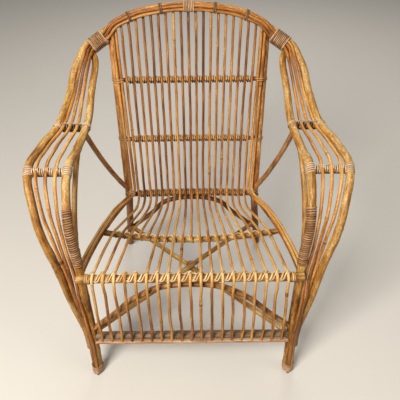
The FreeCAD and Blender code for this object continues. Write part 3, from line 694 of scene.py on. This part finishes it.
# %% Spindles and edge rods
spindle_nodes = ["spindle_%02d" % n for n in range(1, 20)] + ["apron_lengths"]
held = np.concatenate([LINES[node][0] for node in (
    "front_rail", "seat_bar", "lower_back_bar", "middle_back_rod", "upper_back_rod", "apron_rod")])


def spindle_tone(p):
    seat = 1 - step_up(p[1], 0.02, 0.16)
    edge = step_up(p[2], 0.35, 0.39) * (1 - step_up(p[1], -0.255, -0.235))
    apron = (1 - step_up(p[1], -0.25, -0.22)) * (1 - step_up(p[2], 0.28, 0.37))
    return 0.36 + 0.36 * seat + 0.34 * edge - 0.28 * apron


def between_bars(p):
    """How free a spindle is to wander: not where a bar holds it, and most in the apron."""
    gap = np.linalg.norm(held - p, axis=1).min()
    low = 1 - step_up(p[1], -0.25, -0.22)
    return step_up(gap, 0.015, 0.05) * (0.5 + low)


rods("spindles", spindle_nodes, SPINDLE, rod_skin, "rattan_rod", 4.2, spindle_tone,
     spacing=0.13, wander=0.0075, swell=0.0007, ring=0.0030, free=between_bars,
     longer={"spindle_10": 0.0035})
rods("edge_rods", both("edge_rods"), ROD, rod_skin, "rattan_rod", 5.5,
     lambda p: spindle_tone(p) + 0.25, spacing=0.18, wander=0.0006, ring=0.0035,
     taper=lambda p: 0.92 + 0.08 * step_up(p[1], 0.08, 0.14))

# %% [markdown]
# ## Split cane
# Cane is the outer skin of rattan, split into strips four to five millimetres wide, shiny
# on the outside and flat inside. It is wound wet and shrinks tight. A strip is a line with
# one more thing to know: which way its shiny side faces. The tree turns the curve's normal
# that way and sweeps a flat oval along it. A round bevel would be simpler, but it would look
# like string.

# %% Geometry tree for cane strips
def cane_tree():
    tree, given = new_tree("cane_strip", Width="Float", Thickness="Float", Material="Material")
    line = tree.shape("GeometryNodeMeshToCurve", given["Geometry"])
    facing = tree.named("facing", "FLOAT_VECTOR")
    line = tree.shape("GeometryNodeSetCurveNormal", line, {"Normal": facing}, mode="FREE")
    oval = tree.put("GeometryNodeCurvePrimitiveCircle", {"Resolution": 8, "Radius": 0.5})[0]
    oval = tree.store(oval, "round", tree.put("GeometryNodeInputPosition")[0], "FLOAT_VECTOR")
    flat = tree.joined(given["Thickness"], given["Width"], 1.0)
    oval = tree.shape("GeometryNodeTransform", oval, {"Scale": flat})
    strip = tree.shape("GeometryNodeCurveToMesh", line, {
        "Profile Curve": oval, "Scale": tree.named("size"), "Fill Caps": True})
    strip = tree.shape("GeometryNodeSetShadeSmooth", strip, {"Shade Smooth": True})
    return tree.close(strip, given["Material"])


CANE = cane_tree()

# %% Cane materials
CANE_PATCH, CANE_FIBRE = (1.0, 38.0, 0, 2.0, 0.6), (9.0, 30.0, 5, 2.5, 0.6)


def cane_finish(name, codes, gloss, seed):
    """Skin from dark, middle and pale, darker along both edges of the strip."""
    dark, middle, pale = (paint(code) for code in codes.split())
    tree = Finish(name, seed)
    patch, fibre = tree.grain(*CANE_PATCH), tree.grain(*CANE_FIBRE)
    share = tree.uneven(tree.fact("tone"), (patch, 1.5), (fibre, 0.9))
    skin = tree.ramp(share, (0.0, dark), (0.5, middle), (1.0, pale))
    edge = tree.put("ShaderNodeSeparateXYZ", {0: tree.fact("round", "Vector")})[1]
    edge = tree.span(tree.calc("ABSOLUTE", edge), 0.34, 0.5)
    skin = tree.mixed(tree.calc("MULTIPLY", edge, 0.75), skin, dark)
    dull = tree.calc("MULTIPLY_ADD", fibre, 0.25, gloss - 0.12)
    return tree.varnish(skin, dull, fibre, strength=0.3, depth=0.0004, coat=0.08, coat_dull=0.25)


lash_cane = cane_finish("tan_lashing", "3e200a 94683e d2aa80", 0.5, 1.0)
pale_cane = cane_finish("worn_lashing", "442a14 b28c64 e0c6a4", 0.55, 4.0)
straw_cane = cane_finish("straw_binding", "5a320c c09052 eed2a0", 0.46, 2.0)
brown_cane = cane_finish("brown_binding", "40260c 98693a d2a66c", 0.5, 3.0)

# %% [markdown]
# ## Winding the strips
# A lashing goes round a bundle the way a rubber band would: over the outermost poles and
# straight across the hollows between them. For each direction the band touches the pole
# that reaches farthest that way, which gives the belt. The strip then climbs from one turn
# to the next by about its own width. A plain helix would cut through some poles and float
# off others.

# %% Helpers for windings
BELT_STEPS, BELT_POINTS = 72, 48  # directions tried round a bundle, and points on one turn
STRIP_END = 0.003                 # length over which the end of a strip narrows


class Winding:
    """Strips of one piece, collected before they are made."""

    def __init__(self, seed):
        self.rows, self.luck = [], random.Random(seed)
        self.numbers = {k: [] for k in ("along", "rod", "size", "tone", "facing")}

    def add(self, steps, size=1.0, tone=0.5, grime=0.0):
        """Strip through (point, facing) steps; the last argument darkens it where it faces down: painted
        shade, with some dirt.
        """
        points, facing = (np.array(column) for column in zip(*steps))
        way = run_length(points)
        ends = np.clip(np.minimum(way, way[-1] - way) / STRIP_END + 0.5, 0, 1)
        self.rows.append(points)
        self.numbers["along"].append(way + self.luck.uniform(0, 3))
        self.numbers["rod"].append(np.full(len(points), self.luck.random()))
        self.numbers["size"].append(size * ends)
        # Darker where the strip faces down: painted shade, with some dirt
        self.numbers["tone"].append(tone - grime * np.clip((0.25 - facing[:, 2]) / 0.5, 0, 1))
        self.numbers["facing"].append(facing)

    def finish(self, name, node, skin, slot, width, thickness):
        """The piece, from strips of one width and thickness in metres."""
        mesh = line_mesh(name, self.rows, self.numbers)
        made(name, mesh, CANE, slot, [node], Width=width, Thickness=thickness, Material=skin)


def square(way, heading):
    """The direction nearest to a way that is square to a heading."""
    way = np.array(way, dtype=float)
    return unit(way - heading * (way @ heading))


def farthest(circles, way):
    """The circle (across, out, radius) that reaches farthest in a direction."""
    return max(circles, key=lambda c: c[0] * way[0] + c[1] * way[1] + c[2])


def belt(circles, lift):
    """Closed band round circles: points and outward directions."""
    spots, ways = [], []
    for i in range(BELT_STEPS + 1):
        turn = 2 * math.pi * (i % BELT_STEPS) / BELT_STEPS
        way = np.array([math.cos(turn), math.sin(turn)])
        x, y, r = farthest(circles, way)
        spots.append(np.array([x, y]) + way * (r + lift))
        ways.append(way)
    length = run_length(spots)
    even = np.linspace(0, length[-1], BELT_POINTS + 1)[:-1]
    return [np.stack([np.interp(even, length, column) for column in zip(*row)], 1)
            for row in (spots, ways)]


def wind_bundle(winding, centre, axes, circles, turns, pitch, lift=0.0008, start=0.0, tone=0.55, **look):
    """Even turns round a bundle about its centre; axes are along, across and out."""
    axis, a, b = axes
    spots, ways = belt(circles, lift)
    steps = []
    for i in range(int(turns * BELT_POINTS) + 1):
        k = (i + int(start * BELT_POINTS)) % BELT_POINTS
        climb = (i / BELT_POINTS - turns / 2) * pitch
        point = centre + axis * climb + a * spots[k][0] + b * spots[k][1]
        steps.append((point, unit(a * ways[k][0] + b * ways[k][1])))
    winding.add(steps, tone=tone, **look)


def place_on(line, way):
    """Point and heading at a distance along a row of points."""
    length = run_length(line)
    point = np.array([np.interp(way, length, line[:, k]) for k in range(3)])
    i = int(np.clip(np.searchsorted(length, way), 2, len(line) - 3))
    return point, unit(line[i + 2] - line[i - 2])


def way_at(line, height):
    """First distance along a row at which it passes a height."""
    length, z = run_length(line), line[:, 2]
    i = next(i for i in range(len(line) - 1) if (z[i] - height) * (z[i + 1] - height) <= 0)
    return length[i] + (length[i + 1] - length[i]) * (height - z[i]) / (z[i + 1] - z[i] + 1e-12)


# %% [markdown]
# ## Lashings on the shoulders, the crest, the feet and the stretchers
# Where poles run side by side a lashing holds the whole bundle. Each one needs the places
# of its poles in a plane across it. Typed places would be wrong after any change to the
# poles, so they are found on the centre lines. The shoulder lashings end in a paler turn on
# both sides.

# %% Helpers for lashings
NEAR = 0.05                     # stems farther from a lashing's middle are not in it
RIM_IN, RIM_LIFT = 0.2, 0.0006  # the pale turns, in turns from the end and metres outwards


def across(lines, centre, axes):
    """Where rows of points cross the plane through centre, as circles (across, out, radius)."""
    axis, a, b = axes
    found = []
    for line, radius in lines:
        height = (line - centre) @ axis
        near = np.linalg.norm(line - centre, axis=1) < NEAR
        for i in range(len(line) - 1):
            if near[i] and height[i] * height[i + 1] <= 0:
                k = height[i] / (height[i] - height[i + 1] + 1e-12)
                p = line[i] + (line[i + 1] - line[i]) * k - centre
                found.append((float(p @ a), float(p @ b), radius))
                break
    return found


def lash(winding, label, centre, axis, lines, turns, pitch, lift=0.0008, front=(0, -1, 0.3), rim=None,
         **look):
    """Lashing round whatever runs through a place; rim is the tone of its outermost turns."""
    axis = unit(np.array(axis, dtype=float))
    b = square(front, axis)
    axes = axis, np.cross(b, axis), b
    circles = across(lines, centre, axes)
    wind_bundle(winding, centre, axes, circles, turns, pitch, lift, **look)
    for end in (-1, 1) if rim else ():
        place = centre + axis * end * pitch * (turns / 2 - RIM_IN)
        wind_bundle(winding, place, axes, circles, 1, 0.0, lift + RIM_LIFT, **{**look, "tone": rim})
    print(label, "holds", len(circles), "stems")


# %% Shoulder lashings
SIDES = {"left": -1, "right": 1}
SHOULDER, SHOULDER_RUN = (0.254, 0.25981, 0.765), (-66.0, 37.0, 37.0)  # middle and run, right side

shoulders = Winding(32)
for side, sign in SIDES.items():
    members = [(LINES[pole + side][0], POLE) for pole in ("arm_pole_", "hoop_pole_")]
    members += [(line, ROD) for line in LINES["hoop_rods_" + side]]
    middle, run = np.array(SHOULDER) * (sign, 1, 1), np.array(SHOULDER_RUN) * (sign, 1, 1)
    lash(shoulders, "shoulder " + side, middle, run, members, turns=9, pitch=0.0046, lift=0.0012,
         start=0.3, tone=0.58, rim=1.0)
shoulders.finish("shoulder_lashings_cane", "shoulder_lashings", lash_cane, "cane_lashing", 0.0038, 0.0026)

# %% Ties on the arch
TIES = ((-0.159, 2), (-0.0735, 2), (0.0, 7), (0.0735, 2), (0.159, 2))  # place across, and turns
TIE_LOW = 0.8         # the arch is above this height
CREST_PLACE = 0.0006  # the crest tie's middle, across the chair

ties = Winding(33)
arch = [(line, POLE) for node in both("hoop_pole") for line in LINES[node]]
arch += [(line, ROD) for node in both("hoop_rods") for line in LINES[node]]
for x, turns in TIES:
    pole = LINES["hoop_pole_left" if x < 0 else "hoop_pole_right"][0]
    high = (i for i in range(len(pole)) if pole[i][2] > TIE_LOW)
    spot = min(max(min(high, key=lambda i: abs(pole[i][0] - x)), 2), len(pole) - 3)
    near, run = pole[spot], pole[spot + 2] - pole[spot - 2]
    if x == 0.0:
        near, run = np.array([CREST_PLACE, near[1], near[2]]), (1, 0, 0)
    lash(ties, "tie at %.4f" % x, near, run, arch, turns, pitch=0.0043, lift=0.0014,
         start=0.55, tone=0.8 if turns > 2 else 0.35)
ties.finish("arch_lashings_cane", "arch_lashings", lash_cane, "cane_lashing", 0.0038, 0.0030)

# %% Foot lashings
FOOT_LASHING, FOOT_ROD = 0.019, 0.0046  # height of the lashing, and a rod's radius with its slack

feet = Winding(34)
for side in SIDES:
    line = ordered(LINES["arm_pole_" + side][0], 2)
    middle, run = place_on(line, way_at(line, FOOT_LASHING))
    members = [(line, POLE * LEG_SWELL)] + [(rod, FOOT_ROD) for rod in LINES["hoop_rods_" + side]]
    lash(feet, "foot " + side, middle, run, members, turns=6, pitch=0.0043, front=(0, -1, 0),
         start=0.5, tone=0.8)
feet.finish("foot_lashings_cane", "foot_lashings", lash_cane, "cane_lashing", 0.0042, 0.0020)

# %% Stretcher lashing
CROSSING_HALF, CROSSING_SWELL = 0.0055, 1.45  # room for the crossing bars, aside and round them

crossing = Winding(35)
one, two = (LINES[node][0] for node in both("stretcher"))
p, q = (min(line, key=lambda spot: abs(spot[0])) for line in (one, two))
run = unit((one[-1] - one[0]) * (0, 1, 1))
up = square((0, 0, 1), run)
gap = abs(float((p - q) @ up)) / 2
circles = [(x, z, BRACE * CROSSING_SWELL) for x in (-CROSSING_HALF, CROSSING_HALF) for z in (-gap, gap)]
axes = run, np.array([1.0, 0, 0]), up
wind_bundle(crossing, (p + q) / 2, axes, circles, turns=3, pitch=0.0044, start=0.2)
crossing.finish("stretcher_lashing_cane", "stretcher_lashing", lash_cane, "cane_lashing", 0.0044, 0.0014)

# %% [markdown]
# ## Wraps on the arm poles
# Above the seat each arm pole is wrapped in more than two dozen turns. The lowest of them
# also hold the foot of the arm's support. A helix of the pole's own radius would run through
# it, so the band is worked out afresh at each step from the pole and whatever lies against
# it there.

# %% Arm wraps
WRAP_LIFT = 0.0010  # from the pole to the middle of the cane
AGAINST = 0.003     # a stem within this gap lies against the pole


def wind_pole(winding, line, radius, first, last, turns, tone, steps, others=()):
    """Turns round a pole and what lies against it, between two distances along the pole."""
    path = []
    for i in range(int(turns * steps) + 1):
        point, heading = place_on(line, first + (last - first) * i / (turns * steps))
        a = square((1, 0, 0), heading)
        b = np.cross(heading, a)
        circles = [(0.0, 0.0, radius)]
        circles += [c for c in across(others, point, (heading, a, b))
                    if math.hypot(c[0], c[1]) < radius + c[2] + AGAINST]
        turn = 2 * math.pi * i / steps
        u, v = math.cos(turn), math.sin(turn)
        x, y, r = farthest(circles, (u, v))
        point = point + a * (x + u * (r + WRAP_LIFT)) + b * (y + v * (r + WRAP_LIFT))
        path.append((point, a * u + b * v))
    winding.add(path, tone=tone)


wraps = Winding(31)
for side in SIDES:
    line = ordered(LINES["arm_pole_" + side][0], 2)
    support = [(LINES["arm_support_" + side][0], PROP)]
    wind_pole(wraps, line, POLE * LEG_SWELL, way_at(line, WRAP_LOW), way_at(line, WRAP_HIGH),
              turns=27, tone=0.58, steps=24, others=support)
wraps.finish("arm_wraps_cane", "arm_wraps", lash_cane, "cane_lashing", 0.0041, 0.0026)

# %% [markdown]
# ## Bindings along the rails and bars
# On each bar a strand runs from spindle to spindle and goes round the bar between them:
# once on the front rail and the seat bar, twice on the back. Points in space would give the
# same strand, but they are hard to read and to change. So a strand on a bar is told by three
# numbers at each step: the place along the bar, the angle round it, and how far it lifts
# off. The bends of the bar then come by themselves.

# %% Helpers for bindings
CROSSING_REACH = 0.022  # a rod that passes farther off doesn't cross the bar
TURN_STEPS = 18         # points on one turn
spindle_lines = [line for node in spindle_nodes for line in LINES[node]]


def bar_and_marks(node, others):
    """A bar from left to right, and the distances along it at which other rods pass it."""
    bar = ordered(LINES[node][0], 0)
    length = run_length(bar)
    marks = []
    for other in others:
        gaps = np.linalg.norm(other[:, None, :] - bar[None, :, :], axis=2)
        i, j = np.unravel_index(np.argmin(gaps), gaps.shape)
        if gaps[i, j] < CROSSING_REACH:
            run = unit(bar[min(j + 1, len(bar) - 1)] - bar[max(j - 1, 0)])
            marks.append(float(length[j] + (other[i] - bar[j]) @ run))
    print(node, "carries", len(marks), "rods")
    return bar, sorted(marks)


def strand(winding, bar, radius, towards, steps, size=1.0, tone=0.5, grime=0.5):
    """Strip on a bar through (way along, angle in turns, lift) steps, darker where it faces down: painted
    shade, with some dirt.
    """
    path = []
    for way, angle, lift in steps:
        point, heading = place_on(bar, way)
        a = square(towards, heading)
        b = np.cross(heading, a)
        out = a * math.cos(2 * math.pi * angle) + b * math.sin(2 * math.pi * angle)
        path.append((point + out * (radius + lift), out))
    winding.add(path, size, tone, grime)


def turn_steps(marks, turns, first, last, lift):
    """Turns within a share of each gap; they start and end behind the bar."""
    steps = []
    for a, b in zip(marks, marks[1:]):
        for i in range(turns * TURN_STEPS + 1):
            k = i / (turns * TURN_STEPS)
            steps.append((a + (b - a) * (first + (last - first) * k), turns * k - 0.5, lift))
    return steps


# %% [markdown]
# ## The front rail and the seat bar
# On the front rail three things show between two spindles: a strip that goes round the rail
# and comes up beside the spindle, a curl that hooks round the next spindle, and a strand
# along the top that goes over each spindle. On the seat bar a strand goes round once in each
# gap, and a second one hops from spindle to spindle in small arcs. The gaps are not all the
# same, so each pattern is written once, in shares of a gap, and stretched to fit.

# %% Front rail
CLIMB = [(0.0, 0.62 - 0.08 * i, 0.0012) for i in range(6)]
CLIMB += [(0.02, 0.14, 0.0012), (0.10, 0.085, 0.0012), (0.22, 0.070, 0.0014), (0.32, 0.045, 0.0014),
          (0.40, 0.0, 0.0014), (0.47, -0.06, 0.0014), (0.54, -0.12, 0.0014), (0.62, -0.20, 0.0014),
          (0.74, -0.28, 0.0014), (0.90, -0.36, 0.0014)]
HOOK = ((0.10, 0.100, 0.0012), (0.30, 0.105, 0.0014), (0.48, 0.085, 0.0016), (0.59, 0.045, 0.0018),
        (0.66, 0.0, 0.0020), (0.72, -0.05, 0.0024), (0.79, -0.09, 0.0040), (0.88, -0.13, 0.0075),
        (1.0, -0.150, 0.0096), (1.10, -0.17, 0.0080), (1.18, -0.20, 0.0040))
OVER_STEP, OVER_END, OVER_ANGLE = 0.002, 0.012, -0.17     # the strand along the top
OVER_LIFT, OVER_RISE, OVER_REACH = 0.0020, 0.0078, 0.0062  # how it goes over a spindle
BAND_AWAY, BAND_PITCH = 0.009, 0.0046                      # the bands outside the spindles
BAND_TURNS, BAND_STEPS = 2.5, 20

rail, marks = bar_and_marks("front_rail", spindle_lines)
front = Winding(36)
towards = (0, -math.sqrt(0.5), math.sqrt(0.5))
for a, b in zip(marks, marks[1:]):
    for path, size in ((CLIMB, 1.0), (HOOK, 0.8)):
        fine = np.linspace(0, len(path) - 1, 3 * len(path) - 2)
        steps = np.stack([np.interp(fine, range(len(path)), column) for column in zip(*path)], 1)
        steps[:, 0] = a + (b - a) * steps[:, 0]
        strand(front, rail, RAIL, towards, steps, size, tone=0.72, grime=0.3)
over = []
for k in range(int((marks[-1] - marks[0] + 2 * OVER_END) / OVER_STEP)):
    way = marks[0] - OVER_END + OVER_STEP * k
    near = min(abs(way - mark) for mark in marks)
    over.append((way, OVER_ANGLE, OVER_LIFT + OVER_RISE * math.exp(-(near / OVER_REACH) ** 4)))
strand(front, rail, RAIL, towards, over, size=0.85, tone=0.72)
for end, sign in ((marks[0] - BAND_AWAY, -1), (marks[-1] + BAND_AWAY, 1)):
    turns = [i / BAND_STEPS for i in range(int(BAND_TURNS * BAND_STEPS) + 1)]
    strand(front, rail, RAIL, towards, [(end + sign * BAND_PITCH * turn, turn, 0.0014) for turn in turns])
front.finish("front_rail_cane", "front_rail_binding", straw_cane, "cane_binding", 0.0048, 0.0027)

# %% Seat bar
UP = (0, 0, 1)
HOP_STEPS, HOP_ANGLE, HOP_SWING, HOP_LIFT = 12, 0.12, 0.17, 0.0034  # the small arcs

bar, marks = bar_and_marks("seat_bar", spindle_lines)
seat = Winding(37)
strand(seat, bar, SEAT_BAR, UP, turn_steps(marks, 1, 0.08, 0.24, 0.0010), size=0.8, tone=0.35)
hops = []
for a, b in zip(marks, marks[1:]):
    for share in (k / HOP_STEPS for k in range(HOP_STEPS)):
        angle = HOP_ANGLE - HOP_SWING * math.sin(math.pi * share)
        hops.append((a + (b - a) * share, angle, HOP_LIFT))
strand(seat, bar, SEAT_BAR, UP, hops, tone=0.9, grime=0.0)
seat.finish("seat_bar_cane", "seat_bar_binding", straw_cane, "cane_binding", 0.0040, 0.0024)

# %% [markdown]
# ## The back bars
# Here the strand goes twice round the bar in each gap, so the bar looks like a row of
# beads between the spindles. At both ends it ties the edge rods to the post. An array of
# rings would be even, but the gaps differ and the bars bow, so each gap gets its own turns.

# %% Back bars
LEAN = math.radians(17.2)             # how far the back leans
EDGE_ROD, EDGE_POST = 0.0045, 0.0112  # radii of the tied stems, with a little slack

out = (0, -math.cos(LEAN), math.sin(LEAN))
backs = Winding(38)
for node, radius, tone in (
        ("lower_back_bar", BAR, 0.6), ("middle_back_rod", CROSS, 0.85), ("upper_back_rod", CROSS, 0.85)):
    bar, marks = bar_and_marks(node, spindle_lines)
    # The lower half of each turn is darkened strongly here: painted shade
    strand(backs, bar, radius, out, turn_steps(marks, 2, 0.18, 0.82, 0.0024), tone=tone, grime=0.9)
    for side, end in (("left", bar[0]), ("right", bar[-1])):
        edge = LINES["edge_rods_" + side]
        near = int(np.argmin(np.linalg.norm(edge[0] - end, axis=1)))
        run = edge[0][near + 3] - edge[0][near - 3]
        stems = [(line, EDGE_ROD) for line in edge] + [(LINES["back_post_" + side][0], EDGE_POST)]
        lash(backs, node + " " + side, edge[0][near], run, stems, turns=2, pitch=0.0058, lift=0.0012,
             front=out, start=0.4, size=0.7, tone=0.9)
backs.finish("back_bars_cane", "back_bindings", brown_cane, "cane_binding", 0.0046, 0.0040)

# %% [markdown]
# ## The arm bars
# The front bar of each arm is covered from pole to pole: turns round the bar in the gaps,
# turns over each rod, and a band on both poles. The rear bar has straps over the rods, dark
# turns that fill the gaps, a pale strand along the top from pole to pole, and a short band
# on each pole. Bending every strap by hand would be slow. A strap goes round two circles, the
# bar's and the rod's, so the belt that makes the lashings makes the straps too.

# %% Arm bars
# Circles inside a turn over a rod, and inside a turn in a gap
OVER_ROD, IN_GAP = ((0, 0, CROSS), (0.0111, 0, 0.0044)), ((0, 0, CROSS), (0.0066, 0, 0.0058))
BAR_END, ROD_HALF = 0.002, 0.0065      # bare way at the ends of a bar, and at each side of a rod
RING_TURNS, RING_PITCH = 1.05, 0.0044  # a turn closes with some overlap
POLE_BAND_HALF = 0.0024                # half the width of one turn on a pole
TOP_STEPS, TOP_ANGLE = 60, -0.03       # the pale strand along the top of the rear bar
TOP_LOW, TOP_HIGH = 0.006, 0.0100      # how far it lifts off at the poles and over the rods
# Places of the straps beside each rod, their tone, the tone in the gaps, and turns on the poles
# The rear bar's turns in the gaps are the darkest and fuller than the bar: partly dark binding, partly
# painted shade under the pale strand
ARM_BARS = {"front": ((-0.0043, 0.0, 0.0043), 0.75, 0.75, 5), "rear": ((-0.0021, 0.0021), 0.4, 0.0, 2)}


def ring_at(winding, bar, way, circles, tone):
    """Closed turn round a bar and what lies on top of it."""
    point, heading = place_on(bar, way)
    up = square(UP, heading)
    axes = heading, up, np.cross(heading, up)
    # Its underside is darkened: painted shade
    wind_bundle(winding, point, axes, circles, turns=RING_TURNS, pitch=0.0, tone=tone, grime=0.9)


arms = Winding(39)
for side, sign in SIDES.items():
    for place, (shifts, rod_tone, gap_tone, turns) in ARM_BARS.items():
        bar, marks = bar_and_marks("arm_bar_%s_%s" % (place, side), LINES["hoop_rods_" + side])
        long = float(run_length(bar)[-1])
        stops = [BAR_END] + marks + [long - BAR_END]
        for mark in marks:
            for shift in shifts:
                ring_at(arms, bar, mark + shift, OVER_ROD, rod_tone)
        for a, b in zip(stops, stops[1:]):
            a = a + (ROD_HALF if a in marks else 0.0)
            b = b - (ROD_HALF if b in marks else 0.0)
            count = max(1, int((b - a) / RING_PITCH))
            for i in range(count):
                ring_at(arms, bar, a + (b - a) * (i + 0.5) / count, IN_GAP, gap_tone)
        if place == "rear":
            ways = np.linspace(0, long, TOP_STEPS)
            lifts = np.interp(ways, stops, [TOP_LOW] + [TOP_HIGH] * len(marks) + [TOP_LOW])
            steps = [(way, TOP_ANGLE, lift) for way, lift in zip(ways, lifts)]
            strand(arms, bar, CROSS, UP, steps, tone=0.9)
        for pole, radius, inner in (("arm_pole_", POLE * LEG_SWELL, True), ("hoop_pole_", POLE, False)):
            line = LINES[pole + side][0]
            end = bar[0 if (sign > 0) == inner else -1]
            way = run_length(line)[int(np.argmin(np.linalg.norm(line - end, axis=1)))]
            half = POLE_BAND_HALF * turns
            wind_pole(arms, line, radius, way - half, way + half, turns, tone=0.75, steps=20)
arms.finish("arm_bars_cane", "arm_bar_bindings", pale_cane, "cane_binding", 0.0042, 0.0020)

# %% [markdown]
# ## Floor, light and camera
# The floor is plain and pale. The light is soft: a dim world and three large lamps. To light
# that bounces the floor is darker, so that it doesn't brighten the chair from below. One
# strong lamp would be simpler, but its hard shadows would hide the thin rods. The camera
# stands where the photograph was taken, 1.3 metres up, looking down at about forty degrees.

# %% Stage
FLOOR_HALF = 9  # metres from the chair to the edge of the floor

floor_mesh = bpy.data.meshes.new("floor")
corners = [(x * FLOOR_HALF, y * FLOOR_HALF, 0) for x, y in ((-1, -1), (1, -1), (1, 1), (-1, 1))]
floor_mesh.from_pydata(corners, [], [(0, 1, 2, 3)])
floor = shown(bpy.data.objects.new("floor", floor_mesh))
tree = Finish("pale_floor")
path = tree.put("ShaderNodeLightPath")
seen = tree.calc("MAXIMUM", path["Is Camera Ray"], path["Is Glossy Ray"])
floor_mesh.materials.append(tree.shade({
    "Base Color": tree.mixed(seen, paint("6e6254"), paint("d8d2c8")), "Roughness": 0.8}))

world = bpy.data.worlds.new("studio")
world.use_nodes = True
sky = world.node_tree.nodes["Background"].inputs
sky["Color"].default_value = (1.0, 0.98, 0.95, 1.0)
sky["Strength"].default_value = 0.16
bpy.context.scene.world = world


def lamp(name, place, aim, size, power, colour):
    light = bpy.data.lights.new(name, "AREA")
    light.shape = "SQUARE"
    light.size = size
    light.energy = power
    light.color = colour
    way = Vector(aim) - Vector(place)
    turned = way.to_track_quat("-Z", "Y").to_matrix().to_4x4()
    shown(bpy.data.objects.new(name, light)).matrix_world = Matrix.Translation(Vector(place)) @ turned
    print(name, "lamp of", power, "watts")


lamp("key", (-1.1, -1.8, 2.3), (0, 0, 0.4), 1.1, 104, (1.0, 0.97, 0.92))
lamp("fill", (2.2, -1.2, 2.0), (0, 0, 0.4), 1.8, 16, (1.0, 0.98, 0.96))
lamp("back", (0.3, 2.4, 2.6), (0, 0, 0.5), 1.6, 32, (1.0, 1.0, 1.0))

# %% Camera
CAMERA_PLACE = (0.0266, -1.10344, 1.3023)
PITCH, YAW, ROLL = 39.09, -0.03, 0.678
LENS, SENSOR = 45.23, 36.0

pitch, yaw, roll = (math.radians(angle) for angle in (PITCH, YAW, ROLL))
ahead = Vector((math.sin(yaw) * math.cos(pitch), math.cos(yaw) * math.cos(pitch), -math.sin(pitch)))
level = Vector((math.cos(yaw), -math.sin(yaw), 0))
down = ahead.cross(level)
right = level * math.cos(roll) + down * math.sin(roll)
down = down * math.cos(roll) - level * math.sin(roll)
lens = bpy.data.cameras.new("camera")
lens.sensor_width = SENSOR
lens.lens = LENS
camera = shown(bpy.data.objects.new("camera", lens))
turned = Matrix((right, -down, -ahead)).transposed().to_4x4()
camera.matrix_world = Matrix.Translation(CAMERA_PLACE) @ turned
bpy.context.scene.camera = camera
bpy.context.scene.view_settings.view_transform = "Standard"
print("camera looks down at", PITCH, "degrees")

# %% [markdown]
# ## Last update
# Rings, windings and small bends can push the drawn chair past the CAD one. The view layer is updated once
# more at the end.

# %% Last update
bpy.context.view_layer.update()
